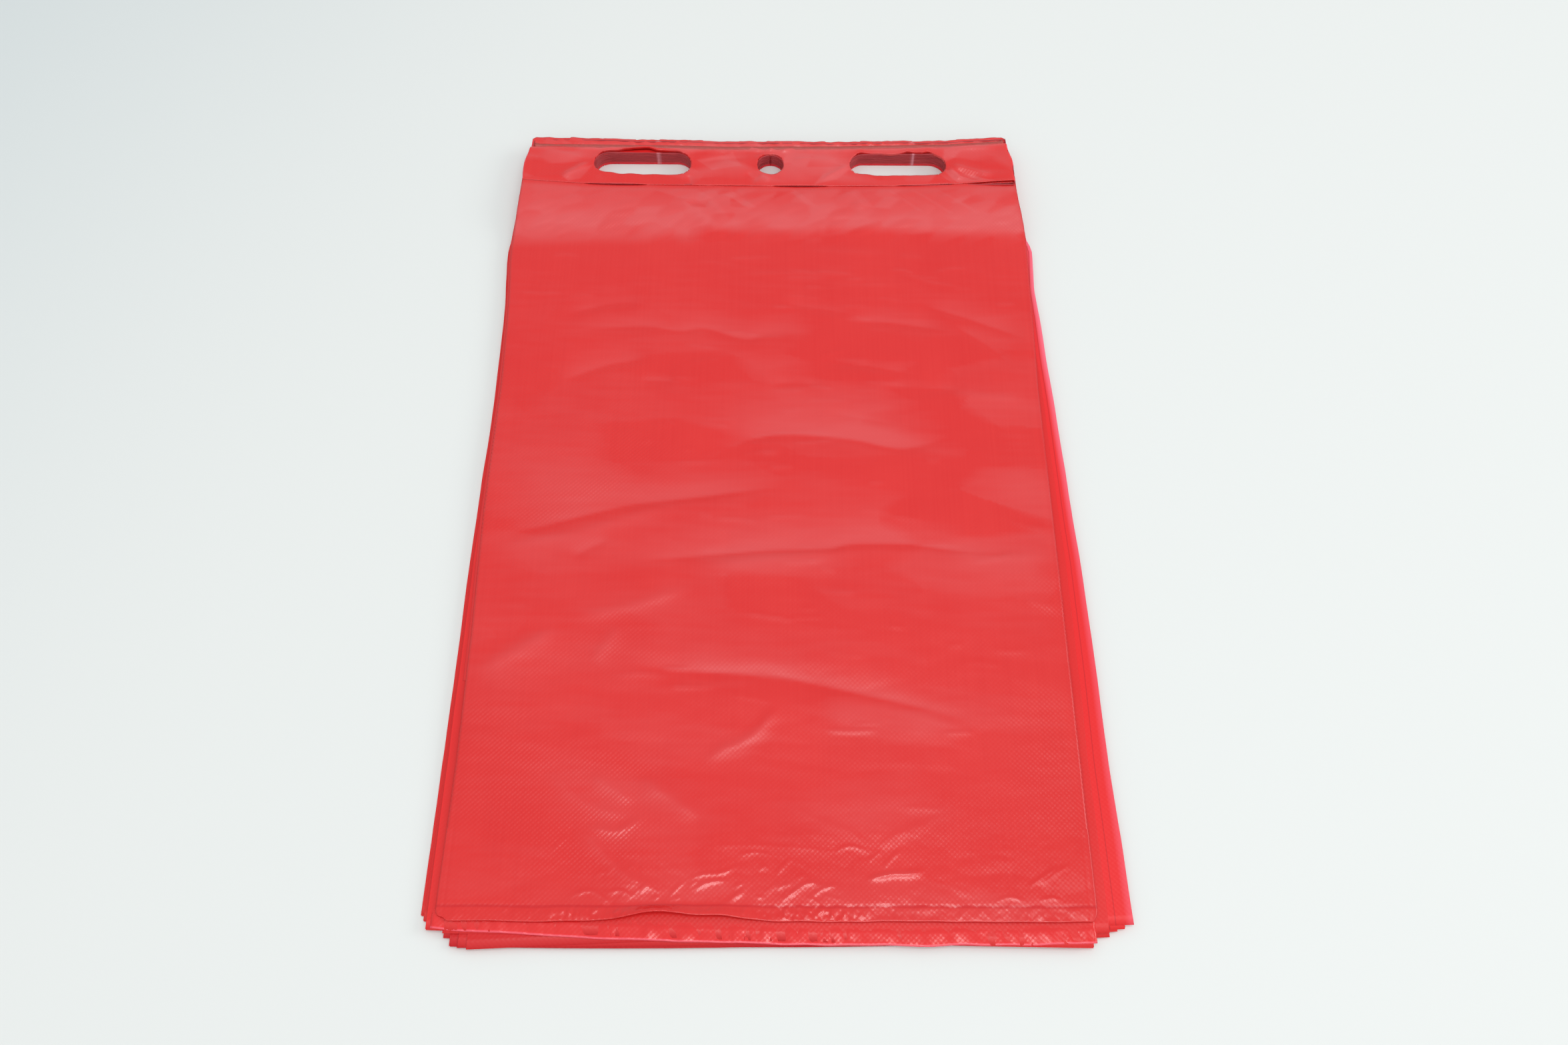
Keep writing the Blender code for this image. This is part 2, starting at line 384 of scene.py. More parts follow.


# Matt studio paint, with painted shade: darker towards one far corner, where the light falls off
def makeFloorPaint(name):
    material, tree = newMaterial(name)
    place = addNode(tree, "ShaderNodeTexCoord").outputs["Object"]
    corner = addNode(tree, "ShaderNodeVectorMath", {"operation": "DOT_PRODUCT"}, {
        0: place, 1: stage["cornerAxis"]})
    fade = addNode(tree, "ShaderNodeMapRange", {"interpolation_type": "SMOOTHSTEP"}, {
        "Value": corner, "From Min": stage["cornerFrom"], "From Max": stage["cornerTo"]})
    colour = addNode(tree, "ShaderNodeMix", {"data_type": "RGBA"}, {
        0: fade, 6: linear(stage["floorColour"]), 7: linear(stage["falloffShadeColour"])})
    paint = addNode(tree, "ShaderNodeBsdfPrincipled", {}, {
        "Base Color": colour, "Roughness": stage["floorRoughness"]})
    addNode(tree, "ShaderNodeOutputMaterial", {}, {"Surface": paint})
    return material


redFilm = makeFilm("red_hdpe_film")
fannedFilm = makeFilm("fanned_hdpe_film", lined=True)
cutEdge = makeCutEdge("punched_film_edges")
weldMelt = makeWeld("melted_weld")
print("materials made")

# Camera and stage, fitted to the photograph

camera = {
    "place": (0.00181, -0.26304, 0.42132), "lens": 31.0, "sensor": 36.0,
    "pitch": 1.0489, "roll": 0.01699, "yaw": 0.01565,   # radians: down, leaning and turned
}


def makeCamera():
    pitch, roll, yaw = camera["pitch"], camera["roll"], camera["yaw"]
    ahead = Vector((math.sin(yaw) * math.cos(pitch), math.cos(yaw) * math.cos(pitch), -math.sin(pitch)))
    right = Vector((math.cos(yaw), -math.sin(yaw), 0.0))
    over = right.cross(ahead)
    rightRolled = right * math.cos(roll) + over * math.sin(roll)
    overRolled = over * math.cos(roll) - right * math.sin(roll)
    data = bpy.data.cameras.new("photo_camera")
    data.lens = camera["lens"]
    data.sensor_width = camera["sensor"]
    data.clip_start = 0.01
    item = bpy.data.objects.new("photo_camera", data)
    turn = Matrix((rightRolled, overRolled, -ahead)).transposed()
    item.matrix_world = Matrix.Translation(camera["place"]) @ turn.to_4x4()
    bpy.context.scene.collection.objects.link(item)
    bpy.context.scene.camera = item


stage = {
    "floor": 6000.0, "floorColour": "#e9ece9", "floorRoughness": 0.6, "floorGap": 0.05,
    # painted shade: the floor is darker towards the far left, where the light falls off, between these two
    # distances along cornerAxis
    "falloffShadeColour": "#d5dddd", "cornerAxis": (-1.0, 0.45, 0.0), "cornerFrom": 0.12, "cornerTo": 0.62,
    # the sky brightens from behind the header, over the top, towards the camera's side
    "sky": "#fbfdff", "skyDark": 0.61, "skyBright": 1.19, "skyAxis": (0.0, -0.5, 0.87),
    "skyFrom": 0.68, "skyTo": 0.97, "skySeen": 0.9,
    # name, place and size in metres, power in watts
    "lamps": [("side_window", (2.2, 0.15, 1.05), (1.3, 0.9), 13.0),
              ("overhead_softbox", (0.30, -0.42, 1.5), (1.2, 0.9), 3.6),
              ("strip_lamp", (0.05, -0.14, 1.45), (0.5, 0.22), 2.0)],
}


def makeStage():
    half = stage["floor"] / 2
    low = padLow.z / mm - stage["floorGap"]
    corners = [(-half, -half, low), (half, -half, low), (half, half, low), (-half, half, low)]
    floor = makePiece("floor", corners, [(0, 1, 2, 3)], makeFloorPaint("floor_paint"))
    world = bpy.data.worlds.new("studio_world")
    world.use_nodes = True
    tree = world.node_tree
    tree.nodes.clear()
    ray = addNode(tree, "ShaderNodeTexCoord").outputs["Generated"]
    along = addNode(tree, "ShaderNodeVectorMath", {"operation": "DOT_PRODUCT"}, {
        0: ray, 1: stage["skyAxis"]})
    rise = addNode(tree, "ShaderNodeMapRange", {"interpolation_type": "SMOOTHSTEP"}, {
        "Value": along, "From Min": stage["skyFrom"], "From Max": stage["skyTo"],
        "To Min": stage["skyDark"], "To Max": stage["skyBright"]})
    seen = addNode(tree, "ShaderNodeLightPath").outputs["Is Camera Ray"]
    strength = addNode(tree, "ShaderNodeMix", {"data_type": "FLOAT"}, {
        0: seen, 2: rise, 3: stage["skySeen"]})
    sky = addNode(tree, "ShaderNodeBackground", {}, {"Color": linear(stage["sky"]), "Strength": strength})
    addNode(tree, "ShaderNodeOutputWorld", {}, {"Surface": sky})
    bpy.context.scene.world = world
    for name, place, size, power in stage["lamps"]:
        lamp = bpy.data.lights.new(name, "AREA")
        lamp.shape = "RECTANGLE"
        lamp.size, lamp.size_y = size
        lamp.energy = power
        item = bpy.data.objects.new(name, lamp)
        item.location = place
        item.rotation_euler = (-Vector(place)).to_track_quat("-Z", "Y").to_euler()
        bpy.context.scene.collection.objects.link(item)
    bpy.context.scene.view_settings.view_transform = "Standard"


makeCamera()
makeStage()
print("camera and stage placed")

# Tear line. It wanders a little, and a few of its slits gape.
tearLine = {
    "reach": 3.5,               # the films follow its wander this far from it
    "lipReach": 2.2,
    "wander": [(-101.6, 1.6), (-88, 0.8), (-75, 0.0), (52, 0.0), (76, 0.8), (90, 1.4), (101.6, 1.8)],
    # slit from, to, gap, and how far the bag's edge has dropped below the header's lip
    "slits": [(-101.6, -77, 0.0, 0.0), (-76, -51, 0.60, 0.25), (-50, -26, 0.04, 0.05),
              (-25, -1, 0.06, 0.06), (1, 24, 0.35, 0.30), (26, 50, 0.05, 0.06),
              (52, 76, 0.30, 0.20), (78, 101.6, 0.85, 0.85)],
}


def tearWander(x):
    places, values = zip(*tearLine["wander"])
    return np.interp(x, places, values)


# Opening of the slit and lift of the lip above it, both nothing at the ties
def slitShape(x):
    gap = np.zeros(np.shape(x))
    lift = np.zeros(np.shape(x))
    for start, end, wide, high in tearLine["slits"]:
        share = (x - start) / (end - start)
        inside = (share > 0.0) & (share < 1.0)
        hump = np.sin(np.clip(share, 0.0, 1.0) * np.pi) ** 0.5
        if end > halfWidth - 1:
            hump = ease(share * 1.1)     # the last slit gapes out to the side
        gap = np.where(inside, wide * hump, gap)
        lift = np.where(inside, high * hump, lift)
    return gap, lift


# The top bag, with its creases read off the photograph: millimetres across from the
# middle and up from the tear line, negative heights being valleys.
topBag = {
    # grid steps down the bag, as (from, step), and the foot, where each column is split in two
    "columns": 204, "rows": [(0.0, 0.7), (32.0, 0.95), (236.0, 0.7)], "footStart": 271.0, "footStep": 0.44,
    "clearance": 0.12, "rim": 0.15, "deepest": -0.62, "sideDrop": 0.15,
    "creaseGain": 1.45,
    "sealUp": 4.6, "sealWidth": 0.5, "sealDepth": 0.05,     # seal line above the bottom edge
    # both sides are folded, which leaves a faint line inside the edge
    "sideFold": 2.2, "sideFoldWidth": 0.35, "sideFoldDepth": 0.10, "edgeDrop": 0.05, "edgeWidth": 0.6,
    # corners at the bottom are worn round over this length, by this much inwards and upwards
    "corner": 5.0, "cornerIn": 1.6, "cornerUp": 1.4,
    # where it swells over the slope: down, width, height
    "bellies": [(13.0, 9.0, 0.9), (21.0, 5.0, 0.25)],
    # three rumpled places of the skirt: across, width, amount
    "rumples": [(-46.0, 20.0, 1.0), (14.0, 22.0, 1.0), (84.0, 8.0, 0.6)],
    # zones down the bag: where each begins, over what run, where it ends and over what run
    "zones": {"body": (30.0, 30.0, 400.0, 1.0), "wrinkled": (30.0, 20.0, 400.0, 1.0),
              "foot": (246.0, 40.0, 400.0, 1.0), "slope": (0.0, 4.0, 24.0, 8.0),
              "middle": (45.0, 40.0, 246.0, 20.0)},
    # film gathers towards the seal at the foot, and short crinkles run aslant down the slope
    "textures": [(ripple, "body", 0.22, 0.0, 26.0, 1, 2.2), (ripple, "wrinkled", 0.07, 0.0, 7.0, 2, 2.5),
                 (facets, "foot", 0.16, 0.0, 13.0, 3, 1.7), (facets, "foot", 0.05, 0.5, 4.2, 4, 1.5),
                 (facets, "slope", 0.30, -0.9, 5.5, 9, 1.4), (facets, "middle", 0.26, 0.25, 17.0, 5, 3.2),
                 (facets, "middle", 0.10, 0.3, 7.0, 8, 2.6)],
    # its sides bulge over the slope: (down, further right)
    "leftSway": [(0, -0.95), (5, -1.0), (11, -1.45), (16, -1.9), (22, -2.4), (32, -2.9), (40, -2.7),
                 (48, -2.0), (58, -1.4), (70, -0.9), (100, -0.1), (155, -0.6), (200, 0.5),
                 (250, 0.8), (285, 0.2), (300, 0.0)],
    "rightSway": [(0, 0.0), (5, 0.05), (10, 0.4), (15, 1.0), (20, 1.6), (26, 2.0), (35, 1.9), (50, 1.5),
                  (65, 1.2), (100, 0.1), (300, 0.0)],
    "creases": [
        # band above the bend
        (0.09, 1.6, 1.2, [(-8, -16.6), (20, -16.2), (46, -17.0), (100, -17.2)]),
        (0.07, 1.2, 1.4, [(-8, -20.2), (30, -20.7), (60, -20.2), (96, -21)]),
        (-0.30, 3.0, 2.0, [(-34, -13), (-30, -10), (-24, -12)]),
        (0.25, 1.5, 2.0, [(-38, -7), (-28, -16), (-18, -24)]),
        (0.22, 1.4, 1.8, [(-30, -4), (-22, -12), (-16, -20)]),
        (-0.22, 1.6, 1.6, [(-15, 0), (-12, -6), (-10, -12)]),
        (-0.20, 1.5, 1.5, [(8, -2), (10, -3), (13, -5)]),
        (0.18, 1.8, 1.8, [(30, -2), (35, -8), (38, -15)]),
        (0.10, 1.4, 1.4, [(50, -3), (60, -9), (72, -14)]),
        (0.10, 1.4, 1.4, [(64, -3), (74, -9), (86, -14)]),
        (0.16, 1.6, 2.2, [(-40, -28), (-32, -29.5), (-25, -25)]),
        # upper body
        (0.13, 0.9, 1.0, [(-15, -45.5), (10, -45.3), (35, -45.8)]),
        (0.08, 1.4, 1.4, [(-58, -51), (-50, -50.5), (-40, -51)]),
        (0.08, 1.4, 1.4, [(35, -50), (48, -50.3), (60, -50)]),
        (0.10, 1.2, 1.2, [(50, -36.5), (56, -36.3), (62, -36.6)]),
        (0.10, 1.5, 1.5, [(10, -33), (30, -34), (50, -35)]),
        (-0.35, 5.0, 2.2, [(-80, -67), (-62, -61), (-48, -61)]),
        (-0.40, 5.5, 2.4, [(-78, -77), (-70, -74), (-50, -72), (-35, -74), (-25, -73), (-10, -78),
                           (0, -76), (22, -76)]),
        (-0.30, 4.0, 2.0, [(2, -60), (18, -63), (34, -66)]),
        (-0.40, 5.0, 2.2, [(25, -68), (48, -70), (70, -74)]),
        (-0.40, 5.0, 2.2, [(57, -60), (75, -67), (100, -78)]),
        (-0.30, 4.0, 2.0, [(70, -70), (82, -80), (92, -90)]),
        (0.15, 1.2, 1.4, [(48, -83), (53, -86), (58, -88)]),
        (-0.40, 5.0, 2.4, [(-80, -99), (-62, -91), (-45, -88)]),
        (-0.25, 4.0, 2.0, [(-50, -98), (-35, -98)]),
        (-0.35, 5.0, 2.2, [(16, -88), (38, -91), (60, -96)]),
        (-0.30, 3.5, 2.0, [(-2, -100), (10, -98.5), (22, -100)]),
        (-0.45, 6.0, 5.0, [(40, -100), (58, -101), (75, -102)]),
        (0.30, 2.5, 2.5, [(58, -103), (80, -105), (100, -107)]),
        (-0.20, 2.2, 1.6, [(20, -112), (35, -115), (50, -118)]),
        # middle
        (0.14, 1.0, 1.2, [(0, -122), (12, -121.6), (25, -122.2)]),
        (-0.55, 11.0, 3.0, [(-25, -135), (-10, -126), (5, -122), (30, -124), (50, -128), (72, -121)]),
        (-0.50, 12.0, 2.0, [(-100, -168), (-75, -160), (-50, -153), (-30, -150), (10, -144)]),
        (0.30, 2.0, 5.0, [(-100, -171), (-70, -165), (-40, -155), (-25, -152)]),
        (-0.25, 3.0, 2.0, [(-70, -175), (-62, -170), (-55, -167)]),
        (-0.60, 9.0, 1.6, [(-55, -177), (-20, -173), (0, -171), (20, -170.5), (30, -168.5),
                           (50, -168.5), (75, -172), (98, -170)]),
        (0.30, 1.8, 5.0, [(-30, -179), (0, -175), (25, -171.5), (35, -174)]),
        (0.25, 1.8, 4.0, [(60, -171), (80, -174), (100, -173)]),
        (0.30, 2.4, 2.4, [(-70, -198), (-50, -194), (-30, -187), (-25, -184)]),
        (0.40, 2.4, 5.0, [(-100, -218), (-85, -210), (-70, -200)]),
        (0.25, 2.2, 3.0, [(-60, -215), (-50, -200)]),
        (0.15, 1.2, 1.2, [(85, -158), (92, -161), (100, -164)]),
        (0.15, 1.2, 1.2, [(88, -190), (94, -192), (100, -194)]),
        # lower body
        (-0.55, 5.0, 3.0, [(-53, -214), (-30, -217), (0, -219), (20, -223), (50, -230), (72, -237)]),
        (0.30, 2.0, 9.0, [(10, -225), (35, -228), (70, -240)]),
        (0.35, 1.6, 2.0, [(-22, -250), (-15, -245), (-5, -240), (5, -228)]),
        (0.26, 2.0, 3.0, [(-72, -251), (-60, -262), (-42, -268)]),
        (0.30, 1.6, 2.4, [(-58, -253), (-50, -258), (-42, -263)]),
        (0.24, 1.0, 1.4, [(-58, -270), (-48, -272), (-42, -269), (-38, -266)]),
        (0.35, 1.6, 3.0, [(-42, -254), (-30, -262), (-20, -268)]),
        (0.30, 1.4, 3.0, [(-60, -270), (-45, -285), (-33, -290)]),
        (0.08, 1.0, 3.0, [(5, -263), (18, -269), (28, -273), (33, -281)]),
        (0.08, 1.0, 3.0, [(33, -281), (37, -275), (50, -269), (60, -265)]),
        (0.08, 0.8, 1.2, [(42, -264), (50, -264.4), (58, -265)]),
        (0.05, 0.8, 1.6, [(-25, -277), (0, -276.4), (27, -279)]),
        # bright flicks over the seal
        (0.17, 0.36, 0.6, [(-62, -293), (-55, -290.6), (-51, -292.4), (-48, -294)]),
        (0.17, 0.36, 0.6, [(-50, -291.5), (-45, -290.5), (-41, -293)]),
        (0.15, 0.36, 0.55, [(-31, -294), (-28, -290), (-25, -287.5)]),
        (0.15, 0.36, 0.6, [(-26, -288), (-20, -285.5), (-14, -285), (-8, -282)]),
        (0.19, 0.4, 0.65, [(-24, -291), (-18, -288), (-12, -287.5)]),
        (0.07, 0.36, 0.6, [(-10, -280), (-4, -278.5), (2, -279.5)]),
        (0.19, 0.36, 0.6, [(4, -294.5), (10, -289.5), (14, -288), (17, -289)]),
        (0.18, 0.36, 0.55, [(13, -293), (17, -290), (22, -288.5)]),
        (0.42, 0.6, 1.0, [(30, -287.4), (38, -285.4), (44, -285.2), (50, -284.2)]),
        (0.10, 0.4, 0.7, [(20, -279), (26, -276.5), (32, -278.5)]),
        (0.17, 0.36, 0.6, [(80, -290), (86, -286), (92, -282.4)]),
        (0.15, 0.36, 0.6, [(84, -289), (90, -285), (95, -282)]),
        (0.17, 0.36, 0.6, [(70, -294), (75, -292.4), (80, -294)]),
        (0.17, 0.36, 0.6, [(84, -293.6), (88, -292.6), (91, -293.6)]),
    ],
}


# Adds up textures of the film, each as (function, zone, height, lean, period, seed, stretch)
def texture(x, up, layers, zones):
    total = np.zeros(x.shape)
    for kind, zone, height, lean, period, seed, stretch in layers:
        total += zones[zone] * height * kind(x + lean * up, up, period, seed, stretch)
    return total


# The band down the slope is milky film standing off the bags below, with a painted sheen as well; the soft
# patches and facets are painted
# light and shade. Band of the slope: its lower border as (across, up), then soft patches of painted light
# as (across, up, half width, half height, amount).
topMilkAndSheen = {
    "border": [(-102, -32), (-70, -30.5), (-50, -30.5), (-40, -27.5), (-32, -29), (-25, -25), (0, -25),
               (50, -24.5), (102, -26.5)],
    "head": 0.50, "band": 0.90, "bandUp": -19.0, "base": 0.02,
    "creaseTone": 0.9, "footTone": 0.5, "paintedFacetLight": 0.42, "slopeTone": 0.5, "streakTone": 0.09,
    "patches": [(25, -112, 50, 12, 0.30), (-78, -140, 24, 26, 0.22), (20, -163, 75, 6, 0.22),
                (0, -174, 34, 3.5, 0.20), (80, -175, 22, 3.5, 0.18), (-60, -205, 34, 16, 0.18),
                (45, -233, 26, 6, 0.35), (-50, -258, 26, 14, 0.20), (30, -268, 26, 8, 0.22),
                (-62, -70, 22, 6, 0.15), (20, -73, 50, 5, 0.12), (0, -292, 96, 5, 0.18),
                (-30, -12, 10, 9, 0.15), (70, -10, 34, 8, 0.10), (92, -150, 10, 30, 0.14)],
    # facets down the slope with painted light (positive amount) and painted shade (negative), as (amount,
    # corners)
    "beams": [
        (-0.34, [(-34.5, -9.5), (-24.5, -8.2), (-26.5, -12.2), (-32.5, -12.6)]),
        (0.24, [(-48.0, -3.0), (-36.0, -8.0), (-24.5, -7.5), (-30.0, -2.5)]),
        (-0.30, [(-16.5, -6.5), (-10.0, -12.5), (-16.0, -12.0)]),
        (0.24, [(-16.0, -3.0), (-6.0, -12.0), (-9.5, -12.0), (-19.0, -5.5)]),
        (-0.28, [(0.5, -8.5), (10.0, -2.5), (3.0, -3.0)]),
        (0.24, [(10.0, -2.0), (19.0, -11.5), (15.0, -11.0), (8.5, -3.5)]),
        (0.18, [(36.0, -2.0), (42.0, -12.0), (38.0, -11.5), (33.0, -3.0)]),
        (0.16, [(50.0, -3.0), (62.0, -14.0), (60.4, -14.0), (48.4, -3.0)]),
        (0.16, [(60.0, -3.0), (74.0, -15.0), (72.4, -15.0), (58.4, -3.0)]),
        (0.16, [(70.0, -3.0), (86.0, -16.0), (84.4, -16.0), (68.4, -3.0)]),
    ],
}


def softPatches(x, up, patches):
    total = np.zeros(x.shape)
    for across, height, wide, tall, amount in patches:
        total += amount * np.exp(-((x - across) / wide) ** 2 - ((up - height) / tall) ** 2)
    return total


# Painted light and shade on facets with clear borders, by the sign of the amount. Their corners run in
# either direction round them.
def paintedBeamLight(x, up, beams):
    total = np.zeros(x.shape)
    for amount, corners in beams:
        middle = np.mean(corners, axis=0)
        inside = np.full(x.shape, 9.0)
        for (ax, ay), (bx, by) in zip(corners, corners[1:] + corners[:1]):
            run, rise = bx - ax, by - ay
            over = (run * (up - ay) - rise * (x - ax)) / math.hypot(run, rise)
            inward = math.copysign(1.0, run * (middle[1] - ay) - rise * (middle[0] - ax))
            inside = np.minimum(inside, over * inward)
        total += amount * ease(inside / 0.8 + 0.5)
    return total


# Painted sheen of the top bag: milky where it stands off over the slope, with painted light and shade in
# patches, on facets and along creases
def topBagMilkAndSheen(x, down, paintedLight):
    up = -down
    places, borders = zip(*topMilkAndSheen["border"])
    border = np.interp(x, places, borders)
    inside = ease((up - border + 1.8) / 7.0)
    band = mix(topMilkAndSheen["head"], topMilkAndSheen["band"], bump(up - topMilkAndSheen["bandUp"], 7.0))
    blotch = 1.0 + 0.35 * ripple(x, up, 7.0, 51, 1.6) * bump(x + 15, 60)
    milkAndSheen = inside * (band * blotch * ease((down - 0.3) / 2.5) + paintedBeamLight(x, up, topMilkAndSheen["beams"]))
    cloud = 0.75 + 0.5 * ripple(x, up, 16.0, 52, 2.4)
    body = topMilkAndSheen["base"] + softPatches(x, up, topMilkAndSheen["patches"]) * cloud
    return np.clip(milkAndSheen + (1 - inside) * body + paintedLight, 0.0, 1.0)


# Flat coordinates of the top bag's points, and its faces. The foot has twice the columns, and
# the last wide faces above it take the extra point into their lower side.
def topBagGrid():
    wide = topBag["columns"] + 1
    fine = 2 * topBag["columns"] + 1
    starts = topBag["rows"] + [(topBag["footStart"], 0.0)]
    runs = [np.arange(start, after[0], step) for (start, step), after in zip(starts, starts[1:])]
    body = np.concatenate(runs)
    foot = np.append(np.arange(topBag["footStart"], pad["length"] - 0.1, topBag["footStep"]), pad["length"])
    bodyX, bodyDown = np.meshgrid(np.linspace(-halfWidth, halfWidth, wide), body)
    footX, footDown = np.meshgrid(np.linspace(-halfWidth, halfWidth, fine), foot)
    faces = gridFaces(len(body), wide)
    below = len(body) * wide
    for column in range(topBag["columns"]):
        corner = below - wide + column
        under = below + 2 * column
        faces.append((corner, under, under + 1, under + 2, corner + 1))
    faces += [tuple(below + index for index in face) for face in gridFaces(len(foot), fine)]
    return np.append(bodyX, footX), np.append(bodyDown, footDown), faces


# Height of the top film over the stack, and its painted light and shade, in the bag's own flat coordinates
def topFilmRelief(x, down):
    up = -down
    zones = {name: ease((down - begin) / run) * (1.0 - ease((down - stop) / fade))
             for name, (begin, run, stop, fade) in topBag["zones"].items()}
    folds, paintedLight = creaseField(x, up, topBag["creases"])
    relief = folds * mix(topBag["creaseGain"], 1.0, ease((down - 225) / 40))
    belly = sum(height * bump(down - place, width) for place, width, height in topBag["bellies"])
    relief += belly * ease(down / 5.0)
    relief += texture(x, up, topBag["textures"], zones)
    fine, finePaintedLight = creaseField(x, up, slivers())
    relief += fine
    paintedLight += finePaintedLight
    seal = pad["length"] - topBag["sealUp"]
    relief -= topBag["sealDepth"] * bump(down - seal, topBag["sealWidth"])
    skirt = ease((down - seal + 0.6) / 1.2)
    relief += skirt * (0.16 * ripple(x, up, 1.7, 6, 0.8) * rumpled(x) + 0.14 * ripple(x, up, 5.0, 7))
    side = halfWidth - np.abs(x)
    folded = bump(side - topBag["sideFold"], topBag["sideFoldWidth"])
    relief -= topBag["sideFoldDepth"] * folded * ease((down - 20) / 30)
    relief -= topBag["edgeDrop"] * bump(side, topBag["edgeWidth"])
    paintedLight = paintedLight * mix(topMilkAndSheen["creaseTone"], topMilkAndSheen["footTone"], ease((down - 235) / 25))
    paintedLight += topMilkAndSheen["streakTone"] * ripple(x + 0.2 * up, up, 1.9, 12, 7.0) * zones["wrinkled"]
    calm = zones["middle"] + 0.6 * zones["foot"]
    paintedLight += topMilkAndSheen["paintedFacetLight"] * calm * paintedFacetLight(x + 0.25 * up, up, 15.0, 5, 2.6)
    paintedLight += topMilkAndSheen["slopeTone"] * zones["slope"] * paintedFacetLight(x - 0.9 * up, up, 5.5, 9, 1.4)
    return relief, paintedLight


# The skirt is calm between its rumpled places
def rumpled(x):
    rumples = sum(amount * bump(x - place, width) for place, width, amount in topBag["rumples"])
    return 0.35 + 0.65 * np.clip(rumples, 0.0, 1.0)


# Short sharp folds: crosswise above the seal, upright across the skirt, and hairlines on the
# body. Each kind has its number, and ranges for its half length and height.
sliverLook = {
    "seed": 12, "clumps": (-52, -40, -22, 6, 24),
    "above": 34, "aboveReach": (1.2, 3.6), "aboveHeight": (0.05, 0.12),
    "skirt": 84, "skirtReach": (0.9, 2.2), "skirtHeight": (0.08, 0.18),
    "body": 90, "bodyReach": (3.0, 11.0), "bodyHeight": (0.09, 0.24),
}


def slivers():
    look = sliverLook
    rng = np.random.default_rng(look["seed"])
    clumps = look["clumps"]
    folds = []
    for index in range(look["above"]):
        x = clumps[index % len(clumps)] + rng.normal(0, 12)
        up = -294 + abs(rng.normal(0, 8))
        reach = rng.uniform(*look["aboveReach"])
        lean = rng.normal(0.5, 0.45)
        points = [(x - reach, up - reach * lean), (x, up + 0.4), (x + reach, up + reach * lean)]
        folds.append((rng.uniform(*look["aboveHeight"]), 0.4, rng.uniform(0.4, 0.9), points))
    for index in range(look["skirt"]):
        x = rng.uniform(-98, 98) if index % 2 else clumps[index % len(clumps)] + rng.normal(0, 10)
        up = -297.6 + rng.normal(0, 0.9)
        reach = rng.uniform(*look["skirtReach"])
        lean = rng.normal(0.25, 0.3)
        points = [(x - reach * lean, up - reach), (x, up), (x + reach * lean, up + reach)]
        folds.append((rng.uniform(*look["skirtHeight"]) * rumpled(x), 0.35, 0.4, points))
    for index in range(look["body"]):
        x = rng.normal(12, 42)
        up = rng.uniform(-135, -36) if index % 3 else rng.uniform(-240, -135)
        reach = rng.uniform(*look["bodyReach"])
        lean = rng.normal(0.0, 0.13)
        kink = rng.normal(0, 0.5)
        points = [(x - reach, up - reach * lean), (x, up + kink), (x + reach, up + reach * lean)]
        folds.append((rng.uniform(*look["bodyHeight"]), 0.5, 0.75, points))
    return folds


# The bottom edge lifts off the second bag left of the middle
def skirtLift(x, down):
    bow = bump(x + 34.0, 13.0) + 0.5 * bump(x + 14.0, 10.0)
    curl = ease((down - 294.0) / 6.5)
    return 2.2 * bow * curl, 2.5 * bow * curl


def makeTopBag():
    x, down, faces = topBagGrid()
    relief, paintedLight = topFilmRelief(x, down)
    lift, pull = skirtLift(x, down)
    z = stackHeight(x, down) + topBag["clearance"] + np.maximum(relief, topBag["deepest"]) + lift
    z -= topBag["sideDrop"] * bump(halfWidth - np.abs(x), 1.3) * ease(down / 20.0)
    gap, lip = slitShape(x)
    head = bump(down, tearLine["reach"])
    y = tearY - down + (tearWander(x) - gap * 0.5) * head + pull
    z -= lip * bump(down, tearLine["lipReach"])
    drift = mix(0.3, 0.2, down / pad["length"]) * ease(down / 30.0)
    place = x + drift + sideSway(x, down, topBag["leftSway"], topBag["rightSway"])
    corner = np.clip(down - pad["length"] + topBag["corner"], 0.0, None) / topBag["corner"]
    place = place - np.sign(x) * topBag["cornerIn"] * corner**3 * ease((np.abs(x) - 97.0) / 4.6)
    y = y + topBag["cornerUp"] * corner**2 * ease((-x - 97.0) / 4.6)
    y = y + 0.35 * ripple(x, 0.0, 9.0, 11) * ease((down - 285.0) / 15.0)
    points = np.stack([place, y, z], axis=-1)
    emboss = embossMask(x, down)
    gloss = 0.25 + 0.75 * ease((down - 235.0) / 45.0) * (1.0 - bump(halfWidth - np.abs(x), 1.6))
    seal = pad["length"] - topBag["sealUp"]
    tint = -0.9 * bump(down - seal, 0.36) - 0.5 * bump(halfWidth - x, 0.8)
    points, faces, extra = turnDownBorder(points, faces, np.full(x.shape, topBag["rim"]))
    fields = {"emboss": emboss, "gloss": gloss, "tint": tint, "milkAndSheen": topBagMilkAndSheen(x, down, paintedLight)}
    return makePiece("top_bag", points, faces, redFilm, extendFields(fields, extra), len(extra))


# Turns every open border of a mesh down by its own depth
def turnDownBorder(points, faces, depths):
    sides = {}
    for face in faces:
        for start, end in zip(face, face[1:] + face[:1]):
            if (end, start) in sides:
                del sides[(end, start)]
            else:
                sides[(start, end)] = True
    points = list(map(tuple, points))
    extra = []
    below = {}
    for start, end in sides:
        for index in (start, end):
            if index not in below:
                px, py, pz = points[index]
                below[index] = len(points)
                points.append((px, py, pz - float(depths[index])))
                extra.append(index)
        faces.append((end, start, below[start], below[end]))
    return np.array(points), faces, extra


def extendFields(fields, extra):
    flat = {key: np.ravel(values) for key, values in fields.items()}
    return {key: np.concatenate([values, values[extra]]) for key, values in flat.items()}


